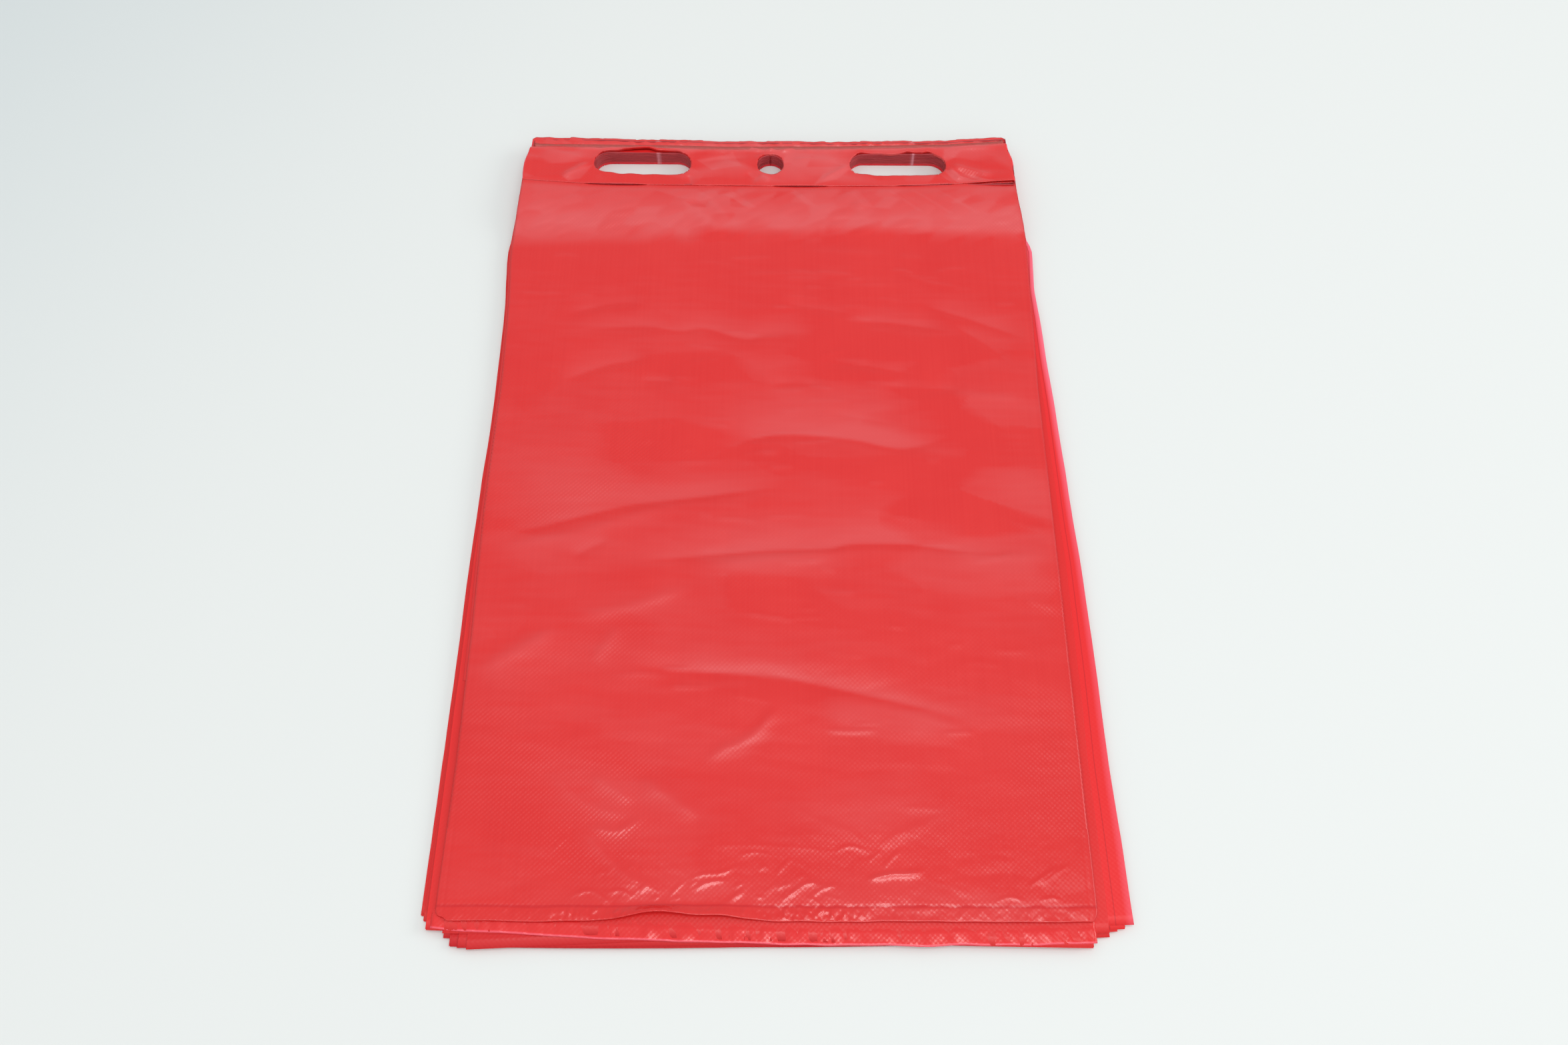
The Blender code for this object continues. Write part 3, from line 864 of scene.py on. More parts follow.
# The embossing has survived best on the left and at the far right, in drifting patches
def embossMask(x, down):
    side = ease((-20.0 - x) / 40.0) + 0.5 * ease((x - 70.0) / 20.0)
    patch = ease(ripple(x, -down, 38.0, 21, 1.5) * 1.6 + 0.55)
    along = 0.35 + 0.65 * bump(down - 160.0, 75.0)
    return np.clip(0.18 + side * patch * along, 0.0, 1.0)


# The second bag shows its puckered skirt below the top one
secondBag = {
    "columnStep": 0.9, "bodyRow": 4.0, "footRow": 0.5, "footStart": 282.0,
    "shift": (-0.5, -0.8, -0.8), "reachLeft": 2.0, "reachRight": 6.3, "reachMore": 2.4,
    "tint": 0.3, "edgeTint": 0.45,
    "sealUp": 4.8, "rim": 0.3, "pucker": 0.30, "puckerRun": 1.5,
}


# Sideways shift of a bag at a distance down it, as the node tree works it out too
def fanShift(shift, down):
    head, bend, foot = bendValues(*shift)
    share = np.clip((down - pad["fanStart"]) / (pad["length"] - pad["fanStart"]), 0.0, 1.0)
    swung = mix(mix(head, bend, share), mix(bend, foot, share), share)
    return swung * mix(fan["opening"], 1.0, np.clip(down / pad["fanStart"], 0.0, 1.0))


def sideSway(x, down, left, right):
    onLeft = np.interp(down, *zip(*left)) * ease((-x - 40.0) / 60.0)
    return onLeft + np.interp(down, *zip(*right)) * ease((x - 40.0) / 60.0)


def makeSecondBag():
    look = secondBag
    columns = int(pad["width"] / look["columnStep"])
    body = np.arange(-1.2, look["footStart"], look["bodyRow"])
    foot = np.arange(look["footStart"], pad["length"], look["footRow"])
    across = np.linspace(-halfWidth, halfWidth, columns + 1)
    x, flat = np.meshgrid(across, np.concatenate([body, foot, [pad["length"]]]))
    share = ease((flat - look["footStart"]) / 14.0)
    part = x / pad["width"] + 0.5
    reach = mix(look["reachLeft"], look["reachRight"], part) + look["reachMore"] * 4.0 * part * (1.0 - part)
    down = flat + reach * flat / pad["length"]
    bottom = pad["length"] - flat
    z = stackHeight(x, down) * pad["settle"] - 0.10
    seal = bottom - look["sealUp"]
    skirt = ease((1.4 - seal) / 2.0)
    pucker = ripple(x + 0.25 * bottom, bottom * 0.22, look["puckerRun"], 61)
    z += skirt * (look["pucker"] * pucker + 0.16 * ripple(x, bottom, 5.5, 62) + 0.10)
    z += 0.12 * share * facets(x, bottom, 5.0, 63, 1.0) * skirt
    z -= 0.10 * bump(seal, 0.45)
    y = tearY - down + 0.45 * ripple(x, 0.0, 11.0, 64) * skirt
    place = x + fanShift(look["shift"], down) + sideSway(x, down, topBag["leftSway"], topBag["rightSway"])
    points = np.stack([place, y, z], axis=-1).reshape(-1, 3)
    points, faces, extra = turnDownBorder(points, gridFaces(*x.shape), np.full(x.size, look["rim"]))
    tint = look["tint"] + look["edgeTint"] * ease(1.6 - bottom / 0.6)
    # the puckered skirt gets a painted sheen
    fields = {"emboss": np.full(x.shape, 0.2), "gloss": 0.4 + 0.6 * skirt, "tint": tint,
              "milkAndSheen": 0.12 * skirt * (0.6 + 0.6 * ripple(x, bottom, 3.0, 65, 0.7))}
    return makePiece("second_bag", points, faces, redFilm, extendFields(fields, extra), len(extra))


# Lower bags, as one Geometry Nodes tree. Each vertex of the seed mesh is a bag and carries
# its fan as attributes.
fan = {
    # sheets in the run; sideways shift at the bend, halfway and at the foot; how far the foot
    # reaches past the bag's length at the left, in the middle and at the right; tints
    "runs": [
        (2, (-1.1, -1.6, -2.1), (2.0, 5.2, 7.6), (0.05, 0.15)),
        (2, (1.4, 2.7, 3.3), (3.2, 4.2, 3.3), (0.0, 0.15)),
        (2, (3.7, 7.9, 11.2), (8.2, 4.1, 0.6), (-0.5, 1.0)),
        (3, (3.1, 6.4, 8.2), (7.6, 5.8, 1.6), (-0.6, 0.5)),
        (4, (2.4, 4.6, 5.6), (7.0, 6.4, 2.3), (-0.6, 0.35)),
        (4, (1.5, 2.8, 3.6), (4.6, 7.1, 4.1), (-0.5, 0.2)),
        (4, (-2.2, -2.5, -3.3), (-1.0, 3.0, 4.8), (-0.1, -0.3)),
        (4, (-3.4, -3.6, -4.4), (-2.7, 1.0, 3.0), (-0.2, -0.3)),
    ],
    "opening": 0.25,            # share of the shift at the bend that is there at the tear line
    # the outline wanders: (down, further right) for the left and the right sides
    "leftSway": [(0, -0.2), (11, -0.4), (22, -0.3), (27, -0.6), (32, -1.0), (38, -0.9), (48, -0.3),
                 (58, 0.5), (70, 0.8), (106, 1.2), (124, 1.0), (141, 0.5), (158, 0.4), (175, 0.1),
                 (220, 0.2), (300, -0.1)],
    "rightSway": [(0, -0.6), (20, -0.9), (26, -0.6), (31, 0.8), (36, 0.45), (42, -0.1), (52, -0.9),
                  (67, -0.6), (86, -0.7), (105, -0.3), (158, -0.15), (174, 0.2), (220, 0), (248, -0.5),
                  (274, -0.15), (300, 0)],
    "pinkRim": 2.6, "pinkFrom": 0.4, "leftRim": 0.3, "footShade": -1.0,
    "lineFrom": 3.0,
    "spread": 0.16,             # sheets of one run lie this unevenly
    "rows": 100, "columns": 28,
    "wander": 0.5, "wanderRun": 22.0,
    "filmThickness": 0.09,      # drawn thick, as about four bags pressed together
    "seed": 5,
}


# Three settings as the control values of a gentle bend
def bendValues(head, middle, foot):
    return head, 2 * middle - (head + foot) / 2, foot


def leafSeeds():
    rng = np.random.default_rng(fan["seed"])
    rows = []
    for count, shifts, reaches, tints in fan["runs"]:
        for index in range(count):
            offset = rng.normal(0.0, fan["spread"], 6)
            uneven = [s + o * (0.4 + 0.4 * k) for k, (s, o) in enumerate(zip(shifts, offset))]
            reach = [r + 1.6 * o for r, o in zip(reaches, offset[3:])]
            rows.append((*uneven, *reach, *tints))
    return np.array(rows)


leafKeys = ("shiftHead", "shiftBend", "shiftFoot", "reachLeft", "reachBend", "reachRight", "bagNumber")


# A Geometry Nodes tree with named inputs, and the identifier of each
def startTree(name, floats, integers=()):
    tree = bpy.data.node_groups.new(name, "GeometryNodeTree")
    face = tree.interface
    face.new_socket("Geometry", in_out="INPUT", socket_type="NodeSocketGeometry")
    face.new_socket("Geometry", in_out="OUTPUT", socket_type="NodeSocketGeometry")
    sockets = {}
    for kind, labels in (("NodeSocketFloat", floats), ("NodeSocketInt", integers)):
        for label in labels:
            sockets[label] = face.new_socket(label, in_out="INPUT", socket_type=kind).identifier
    return tree, sockets, addNode(tree, "NodeGroupInput").outputs


def endTree(tree, geometry, material):
    real = addNode(tree, "GeometryNodeRealizeInstances", {}, {0: geometry})
    finished = addNode(tree, "GeometryNodeSetMaterial", {}, {"Geometry": real, "Material": material})
    addNode(tree, "NodeGroupOutput", {}, {0: finished})


def buildLeafTree(material):
    labels = ("Width", "Length", "Fan start", "Opening", "Wander", "Wander run")
    tree, sockets, size = startTree("fannedBags", labels)
    sheet = addNode(tree, "GeometryNodeMeshGrid", {}, {
        "Size X": 1.0, "Size Y": 1.0, "Vertices X": fan["columns"], "Vertices Y": fan["rows"]})
    placed = addNode(tree, "GeometryNodeInstanceOnPoints", {}, {
        "Points": size["Geometry"], "Instance": sheet.outputs["Mesh"]})
    loose = addNode(tree, "GeometryNodeRealizeInstances", {}, {0: placed})
    carried = {}
    for name in leafKeys:
        carried[name] = addNode(tree, "GeometryNodeInputNamedAttribute", {"data_type": "FLOAT"}, {
            "Name": name})
    spot = addNode(tree, "GeometryNodeInputPosition")
    split = addNode(tree, "ShaderNodeSeparateXYZ", {}, {0: spot}).outputs
    # the columns crowd towards both sides, where the sheets are seen
    across = addNode(tree, "ShaderNodeMapRange", {"interpolation_type": "SMOOTHERSTEP"}, {
        "Value": split["X"], "From Min": -0.5, "From Max": 0.5})
    along = addNode(tree, "ShaderNodeMapRange", {}, {
        "Value": split["Y"], "From Min": 0.5, "From Max": -0.5})
    flat = addNode(tree, "ShaderNodeMath", {"operation": "MULTIPLY"}, {0: along, 1: size["Length"]})
    low = addNode(tree, "ShaderNodeMapRange", {}, {
        "Value": flat, "From Min": size["Fan start"], "From Max": size["Length"]})
    # the sideways shift bends down the sheet, and the reach bends across it
    bends = []
    for share, keys in ((low, leafKeys[:3]), (across, leafKeys[3:6])):
        start, middle, end = (carried[key] for key in keys)
        first = addNode(tree, "ShaderNodeMix", {}, {0: share, 2: start, 3: middle})
        second = addNode(tree, "ShaderNodeMix", {}, {0: share, 2: middle, 3: end})
        bends.append(addNode(tree, "ShaderNodeMix", {}, {0: share, 2: first, 3: second}))
    opened = addNode(tree, "ShaderNodeMapRange", {}, {
        "Value": flat, "From Max": size["Fan start"], "To Min": size["Opening"]})
    reach = addNode(tree, "ShaderNodeMath", {"operation": "ADD"}, {0: bends[1], 1: size["Length"]})
    down = addNode(tree, "ShaderNodeMath", {"operation": "MULTIPLY"}, {0: along, 1: reach})
    place = addNode(tree, "ShaderNodeMath", {"operation": "DIVIDE"}, {0: down, 1: size["Wander run"]})
    strayed = addNode(tree, "ShaderNodeCombineXYZ", {}, {
        "X": place, "Y": across, "Z": carried["bagNumber"]})
    unevenness = addNode(tree, "ShaderNodeTexNoise", {}, {
        "Vector": strayed, "Scale": 1.0, "Detail": 1.0, "Roughness": 0.5})
    stray = addNode(tree, "ShaderNodeMath", {"operation": "SUBTRACT"}, {0: unevenness, 1: 0.5})
    shift = addNode(tree, "ShaderNodeMath", {"operation": "MULTIPLY"}, {0: bends[0], 1: opened})
    side = addNode(tree, "ShaderNodeMath", {"operation": "MULTIPLY_ADD"}, {
        0: stray, 1: size["Wander"], 2: shift})
    centred = addNode(tree, "ShaderNodeMath", {"operation": "SUBTRACT"}, {0: across, 1: 0.5})
    x = addNode(tree, "ShaderNodeMath", {"operation": "MULTIPLY_ADD"}, {
        0: centred, 1: size["Width"], 2: side})
    y = addNode(tree, "ShaderNodeMath", {"operation": "MULTIPLY"}, {0: down, 1: -1.0})
    target = addNode(tree, "ShaderNodeCombineXYZ", {}, {"X": x, "Y": y, "Z": carried["bagNumber"]})
    moved = addNode(tree, "GeometryNodeSetPosition", {}, {"Geometry": loose, "Position": target})
    endTree(tree, moved, material)
    return tree, sockets


# A bare object that carries the starting points of a tree, with their attributes
def makeSeed(name, points, edges, fields):
    mesh = bpy.data.meshes.new(name)
    mesh.from_pydata(points, edges, [])
    writeFields(mesh, fields)
    item = bpy.data.objects.new(name, mesh)
    bpy.context.scene.collection.objects.link(item)
    return item


# Evaluates a seed's Geometry Nodes tree and returns the plain mesh and its points
def bakeNodes(item, tree, sockets, values):
    modifier = item.modifiers.new("nodes", "NODES")
    modifier.node_group = tree
    for label, value in values.items():
        modifier[sockets[label]] = value
    bpy.context.view_layer.update()
    graph = bpy.context.evaluated_depsgraph_get()
    mesh = bpy.data.meshes.new_from_object(item.evaluated_get(graph))
    bpy.data.objects.remove(item)
    flat = np.zeros(len(mesh.vertices) * 3)
    mesh.vertices.foreach_get("co", flat)
    return mesh, flat.reshape(-1, 3)


def makeLowerBags():
    seeds = leafSeeds()
    count = len(seeds)
    controls = [*bendValues(*seeds.T[:3]), *bendValues(*seeds.T[3:6]), np.arange(count, dtype=float)]
    item = makeSeed("bag_seeds", [(0.0, 0.0, 0.0)] * count, [], dict(zip(leafKeys, controls)))
    tree, sockets = buildLeafTree(fannedFilm)
    baked, points = bakeNodes(item, tree, sockets, {
        "Width": pad["width"], "Length": pad["length"] - pad["headLap"], "Fan start": pad["fanStart"],
        "Opening": fan["opening"], "Wander": fan["wander"], "Wander run": fan["wanderRun"]})
    spots = points.reshape(count, -1, 3)
    local = np.array([tuple(p.vertices) for p in baked.polygons]).reshape(count, -1, 4)
    pieces = []
    for index in range(count):
        faces = local[index] - local[index].min()
        pieces.append(makeLeaf(index + 2, spots[index], faces, seeds[index]))
    return pieces


# Where the side of a bag further in shows through, measured inwards from a sheet's own side
def edgeLine(shift, down, side):
    shifts = sorted((run[1] for run in fan["runs"]), key=lambda other: -side * other[1])
    inner = [other for other in shifts if side * (shift[1] - other[1]) > fan["lineFrom"]]
    if not inner:
        return np.full(down.shape, pad["width"])
    return side * (fanShift(shift, down) - fanShift(inner[0], down))


# A leaf takes its share of the stack's height. The edges of the bags below show through it as
# lines, the rim that only one or two films cover is pink, and its foot is painted crimson as shade.
def makeLeaf(order, spots, faces, seed):
    down = -spots[:, 1] + pad["headLap"]
    x = spots[:, 0] + sideSway(spots[:, 0], down, fan["leftSway"], fan["rightSway"])
    share = 1.0 - order / pad["bags"]
    under = np.clip(down, 0.0, pad["length"])
    z = stackHeight(np.clip(x, -halfWidth, halfWidth), under) * share * pad["settle"] + 0.02
    y = tearY - down + tearWander(x) * bump(down, tearLine["reach"])
    points = np.stack([x, y, z + fan["filmThickness"]], axis=-1)
    rightSide = x > 0.0
    side = np.where(rightSide, 1.0, -1.0)
    edge = halfWidth - side * (spots[:, 0] - fanShift(seed[:3], down))
    tint = np.where(rightSide, min(seed[7], 0.5), seed[6])
    if seed[7] > 0.5:
        pink = mix(1.0, fan["pinkFrom"], ease((down - 60) / 160)) * (1.0 - ease(edge / fan["pinkRim"]))
        tint = tint + rightSide * (seed[7] - 0.5) * pink
    tint = tint + np.where(rightSide, 0.0, fan["leftRim"]) * bump(edge, 0.5)
    # painted shade: towards the foot, left of about 75 mm, the lower bags turn crimson, every other one
    # less, for the shade between them
    foot = fan["footShade"] * (1.0 if order % 2 else 0.55)
    tint = mix(tint, foot, ease((down - 303.0) / 1.5) * ease((75.0 - x) / 20.0))
    fields = {"tint": tint, "gloss": np.full(x.shape, 0.4), "emboss": np.full(x.shape, 0.2),
              "milkAndSheen": np.full(x.shape, 0.05)}
    left, right = edgeLine(seed[:3], down, -1.0), edgeLine(seed[:3], down, 1.0)
    fields["line"] = edge - np.where(rightSide, right, left)
    piece = makePiece(f"bag_{order + 1:02d}", points, faces.tolist(), fannedFilm, fields)
    solid = piece.modifiers.new("film_thickness", "SOLIDIFY")
    solid.thickness = fan["filmThickness"] * mm
    solid.offset = -1.0
    return piece


topPiece = makeTopBag()
secondPiece = makeSecondBag()
print("top bag shaped:", len(topPiece.data.polygons), "faces")
lowerPieces = makeLowerBags()
print("lower bags fanned:", len(lowerPieces))

# Header film: the top film of the block, punched, welded and slit

headerFilm = {
    "columnStep": 0.6, "rowStep": 0.5, "clearance": 0.12, "rim": 0.9, "trimRim": 0.3, "underGap": 0.7,
    "creaseGain": 2.6, "creaseTone": 2.0, "paintedFacetLight": 0.75,
    "flare": 1.05,              # the left side stands out further than the right
    # flat facets with painted light (positive amount) and painted shade (negative), as (amount, corners)
    "beams": [
        (0.50, [(4.8, 12.0), (11.8, 14.0), (18.0, 17.4), (6.9, 18.6)]),
        (0.45, [(33.3, 9.3), (22.2, 6.6), (18.0, 0.5), (27.7, 3.8)]),
        (0.55, [(71.8, 8.9), (77.7, 0.8), (93.0, 0.9), (84.7, 5.5)]),
        (0.50, [(71.8, 12.0), (77.7, 15.5), (82.6, 20.9), (74.3, 19.9)]),
        (-0.40, [(69.7, 7.2), (66.0, 0.8), (75.0, 0.8)]),
        (-0.36, [(17.3, 16.5), (15.2, 10.4), (31.9, 10.2)]),
        (0.45, [(-73.5, 10.4), (-85.5, 3.5), (-83.0, 0.8), (-78.0, 2.5)]),
        (-0.30, [(-78.0, 12.0), (-96.0, 10.0), (-99.0, 4.0), (-87.0, 4.5)]),
        (0.34, [(-31.0, 14.0), (-24.0, 8.5), (-12.0, 11.0), (-16.0, 18.0)]),
    ],
    # the far rims of the openings: (across, further up)
    "farRim": [(-75, 0.0), (-70, 0.6), (-60, 0.5), (-56, 1.0), (-52, 1.6), (-48, 0.3), (-42, 0.6),
               (-36, 0.1), (-32, -0.3), (-5, 0.2), (-3, 0.5), (0, -0.2), (3, 0.4), (33, -0.2), (38, 0.7),
               (44, 0.1), (50, -0.5), (56.5, 0.5), (58, 0.9), (61, 0.7), (64.5, 0.1), (67, 1.0),
               (70, -0.2), (74, -0.3)],
    "sideTint": 0.8,
    # textures of its film, of the plain film below the weld and of the trim
    "textures": [(ripple, "film", 0.14, 0.0, 14.0, 33, 1.6), (ripple, "film", 0.07, 0.0, 4.0, 34, 1.5),
                 (ripple, "trim", 0.35, 1.2, 2.6, 37, 1.2), (facets, "trim", 0.20, 1.0, 4.0, 38, 1.6),
                 (facets, "plain", 0.40, 0.6, 9.0, 43, 1.8)],
    "rimWidth": 1.6, "rimReach": 2.2,       # a rim stands up this far round, and crumples this far
    "weldDrop": 0.8, "weldPucker": 0.35, "trimDrop": 0.2,
    "creases": [
        (0.30, 1.6, 1.8, [(-74, 12), (-80, 7.5), (-86, 2)]),
        (-0.25, 1.4, 1.4, [(-34, 6), (-33.5, 3), (-33, 0)]),
        (0.30, 1.6, 1.8, [(34, 12), (27, 7), (20, 2)]),
        (0.30, 1.5, 1.5, [(74, 10), (77, 6), (80, 2)]),
        (0.30, 1.6, 1.6, [(74, 12), (84, 8), (94, 4.5)]),
        (-0.25, 1.4, 1.4, [(76, 9), (82, 5.5), (88, 3)]),
        (-0.20, 1.8, 1.8, [(-10, 8), (-8, 5), (-5, 2)]),
        (0.20, 1.2, 1.2, [(-5, 6), (-2, 4), (0, 2)]),
        (0.25, 0.9, 0.9, [(-4, 18.5), (-6, 20.5), (-10, 22)]),
        (0.25, 0.9, 0.9, [(0, 18.5), (0.4, 20.5), (1, 22)]),
        (0.25, 0.9, 0.9, [(4, 18.5), (7, 20), (11, 22)]),
        (0.20, 2.4, 2.4, [(-98, 19), (-86, 16), (-75, 14)]),
        (0.25, 1.6, 2.0, [(72, 18), (84, 20), (98, 20.5)]),
        (-0.22, 2.2, 2.2, [(-32, 12), (-20, 15), (-8, 15)]),
        (0.20, 2.0, 2.0, [(8, 14), (18, 15), (30, 13)]),
    ],
    # soft patches of painted sheen, as (across, up, half width, half height, amount)
    "milkAndSheen": [(0, 15, 28, 9, 0.95), (-24, 14, 9, 7, 0.35), (-28, 8, 10, 8, 0.25), (28, 12, 10, 8, 0.45),
             (88, 13, 16, 8, 0.5), (-84, 15, 14, 6, 0.35), (-92, 5, 14, 6, 0.35), (60, 3, 34, 4, 0.25),
             (78, 8, 3, 8, 0.25), (-78, 8, 6, 3, 0.15), (-53, 20, 30, 2, 0.35), (53, 20, 30, 2, 0.35),
             (12, 4, 14, 4, 0.12)],
    "sag": [(-100, 0.0), (-70, -0.2), (-40, -0.6), (-20, -1.3), (25, -1.6), (75, -1.6), (95, -0.5),
            (102, -0.2)],
    "trimSteps": [(-85.7, 0.35), (-72, 0.2), (-58.3, -0.3), (-47.7, 0.3), (-35.4, 0.25), (-28.9, -0.35),
                  (-13.7, 0.3), (-1.4, 0.25), (24, -0.3), (38.6, 0.3), (52.6, 0.25), (61.1, -0.3),
                  (80, 0.25)],
}


def openings():
    middle = header["slotUp"]
    straight = (header["slotLength"] - header["slotWidth"]) / 2
    offset = header["slotSpacing"] / 2
    return {"left": (-offset, middle, straight, header["slotWidth"] / 2),
            "hole": (0.0, middle, 0.0, header["holeDiameter"] / 2),
            "right": (offset, middle, straight, header["slotWidth"] / 2)}


# Distance outside an opening, with the direction away from it
def openingDistance(x, up, opening):
    centreX, centreY, straight, radius = opening
    alongX = np.clip(x - centreX, -straight, straight)
    dx = x - centreX - alongX
    dy = up - centreY
    length = np.maximum(np.hypot(dx, dy), 1e-6)
    return length - radius, dx / length, dy / length


# The sides of the header pull in towards the weld
def sideDraw(up):
    return 1.0 - 0.02 * ease((up - 10.0) / 15.0)


# The middle of the trim and the weld sags towards the bags
def sag(x):
    return np.interp(x, *zip(*headerFilm["sag"]))


def trimLine(x):
    line = header["height"] + header["trimSlope"] * x + sag(x)
    for place, rise in headerFilm["trimSteps"]:
        after = x - place
        line = line + np.where(after > 0.0, rise * np.exp(-np.clip(after, 0.0, None) / 9.0), 0.0)
    return line + 0.12 * ripple(x, 0.0, 4.0, 31) - 0.9 * ease((np.abs(x) - 99.8) / 2.0)


def weldLine(x):
    return header["weldUp"] + header["weldSlope"] * x + sag(x) + 0.15 * ripple(x, 0.0, 12.0, 32)


def headerRelief(x, up):
    look = headerFilm
    folds, paintedLight = creaseField(x, up, look["creases"])
    weld = up - weldLine(x)
    trim = ease(weld / 1.6)
    plain = ease(up / 4.0) * (1.0 - trim)
    zones = {"film": ease(up / 3.0), "trim": trim, "plain": plain}
    relief = folds * look["creaseGain"] + texture(x, up, look["textures"], zones)
    for name, opening in openings().items():
        away, dx, dy = openingDistance(x, up, opening)
        away = np.clip(away, 0.0, None)
        rim = bump(away, look["rimWidth"])
        relief += rim * (0.30 * ease(dy * 2.0) + 0.10) * (1.0 + 0.8 * ripple(x, up, 3.2, 35))
        if name == "left":
            relief += 0.45 * bump(x + 55.0, 9.0) * bump(away, 2.4) * ease(dy * 2.0)
    # the weld has drawn the film down and puckered it
    relief -= look["weldDrop"] * bump(weld, header["weldWidth"] * 0.62) + look["trimDrop"] * trim
    relief += look["weldPucker"] * bump(weld + 2.2, 1.1) * (1.0 + 0.9 * ripple(x, up * 0.5, 3.0, 36))
    # painted light and shade of the creases, of the trim's crinkles and of the plain film's facets
    paintedLight = paintedLight * look["creaseTone"] + 0.3 * trim * paintedFacetLight(x + up, up, 2.4, 38, 1.4)
    return relief, paintedLight + look["paintedFacetLight"] * plain * paintedFacetLight(x + 0.6 * up, up, 9.0, 43, 1.8)


# Painted sheen of the header film: soft patches, facets and crease tones, a painted highlight along the
# near side of the weld, and the trim lighter above it
def headerMilkAndSheen(x, up, paintedLight):
    milkAndSheen = softPatches(x, up, headerFilm["milkAndSheen"]) * (0.85 + 0.4 * ripple(x, up, 6.0, 53, 1.4))
    weld = up - weldLine(x)
    milkAndSheen += paintedBeamLight(x, up, headerFilm["beams"])
    return np.clip(milkAndSheen + paintedLight + 0.5 * bump(weld + 2.0, 0.8) + 0.3 * ease(weld), 0.0, 1.0)


def makeHeaderFilm(name, layer):
    top = layer == "top"
    columns = int(pad["width"] / headerFilm["columnStep"])
    across = np.linspace(-halfWidth, halfWidth, columns + 1)
    rows = int(header["height"] / headerFilm["rowStep"])
    share = np.linspace(0.0, 1.0, rows + 1)
    x, part = np.meshgrid(across, share)
    up = part * trimLine(x)
    keep = np.ones(x.shape, bool)
    step = headerFilm["columnStep"]
    for opening in openings().values():
        away, dx, dy = openingDistance(x, up, opening)
        close = np.abs(away) <= 0.5 * step
        x = np.where(close, x - dx * away, x)
        up = np.where(close, up - dy * away, up)
        keep &= away >= -0.5 * step
    relief, paintedLight = headerRelief(x, up)
    if top:
        z = headerHeight(x, up) + headerFilm["clearance"] + relief
        gap, lip = slitShape(x)
        head = bump(up, 2.6)
        y = tearY + up + (tearWander(x) + gap * 0.5) * head
        z += 0.3 * lip * head
        # the far rims have crumpled back, most of all at the left slot
        for opening in openings().values():
            away, dx, dy = openingDistance(x, up, opening)
            close = bump(np.clip(away, 0.0, None), headerFilm["rimReach"])
            crumple = np.interp(x, *zip(*headerFilm["farRim"])) + 0.5 * ripple(x, 0.0, 6.2, 39)
            y = y + close * ease(dy * 3.0) * (1.1 * bump(x + 56.0, 12.0) + crumple + 0.1)
            # and the near rims hang a little into the openings, most at their left ends
            slack = bump(x - opening[0] + opening[2] + 0.5, 4.0) * min(opening[2], 1.0)
            y = y + close * ease(-dy * 3.0) * (0.15 + slack + 0.5 * ripple(x, 0.0, 5.0, 42))
    else:
        inner = headerHeight(x, up) - headerFilm["underGap"] - 0.6 * bump(up - weldLine(x), 1.2)
        z = inner if layer == "under" else np.full(x.shape, 0.05)
        y = tearY + up + tearWander(x) * bump(up, tearLine["reach"])
    flare = headerFilm["flare"] * ease((-x - 60.0) / 40.0) * (1.0 - 0.4 * ease((up - 12.0) / 8.0))
    place = x * sideDraw(up) - flare + 0.25 * ripple(up, 0.0, 6.0, 40) * ease((np.abs(x) - 95.0) / 6.0)
    z = np.where(np.abs(x) > halfWidth - 1.0, z - 0.25 * (np.abs(x) - halfWidth + 1.0) * top, z)
    quads = keep[:-1, :-1] & keep[1:, :-1] & keep[:-1, 1:] & keep[1:, 1:]
    faces = gridFaces(rows + 1, columns + 1, quads)
    points = np.stack([place, y, z], axis=-1).reshape(-1, 3)
    if layer != "back":
        faces = [tuple(reversed(face)) for face in faces]
    sideTint = headerFilm["sideTint"] * bump(halfWidth - np.abs(x), 0.6)
    fields = {"emboss": np.where(np.abs(x) > 40, 0.3, 0.15), "gloss": np.full(x.shape, 0.3),
              "tint": sideTint if top else np.full(x.shape, 0.25),
              "milkAndSheen": headerMilkAndSheen(x, up, paintedLight) * top}
    lip = 0.04 + 0.4 * slitShape(np.ravel(x))[0]
    depth = np.where(np.ravel(up) < 1.0, lip, headerFilm["rim"])
    depth = np.where(np.ravel(up) > header["weldUp"], headerFilm["trimRim"], depth)
    points, faces, extra = turnDownBorder(points, faces, depth if top else np.full(depth.shape, 0.02))
    fields = extendFields(fields, extra)
    used = sorted({index for face in faces for index in face})
    renumber = {old: new for new, old in enumerate(used)}
    faces = [tuple(renumber[index] for index in face) for face in faces]
    fields = {key: values[used] for key, values in fields.items()}
    return makePiece(name, points[used], faces, redFilm, fields, len(extra))


headerTop = makeHeaderFilm("header_film", "top")
headerUnder = makeHeaderFilm("header_under_film", "under")
headerBack = makeHeaderFilm("header_back_film", "back")
print("header film punched:", len(headerTop.data.polygons), "faces")

# Cut walls of the openings and of the header's own sides: rings of film edges stacked by one
# Geometry Nodes tree along an outline.
walls = {
    "layers": 18, "sideLayers": 22, "depth": 0.30, "jitter": 0.34, "jitterRun": 2.6,
    "layerShift": 3.3,          # takes each ring to its own part of the noise
    "inset": 0.25, "sideInset": 0.3, "trimInset": 0.9, "tearInset": 0.15, "cornerGap": 3.0,
    "above": 0.1, "lowest": 0.02, "pointStep": 0.8, "turnSteps": 24, "edgeStep": 1.6, "sideSteps": 26,
    "freshTint": 0.9, "freshUp": 0.7, "freshRun": 0.8,      # fresh red at the foot of a wall
    # where a film has stuck to its neighbours in a far wall
    "paleTies": (-47.0, 60.0), "tieWidth": 0.5, "tieUp": 15.0,
}


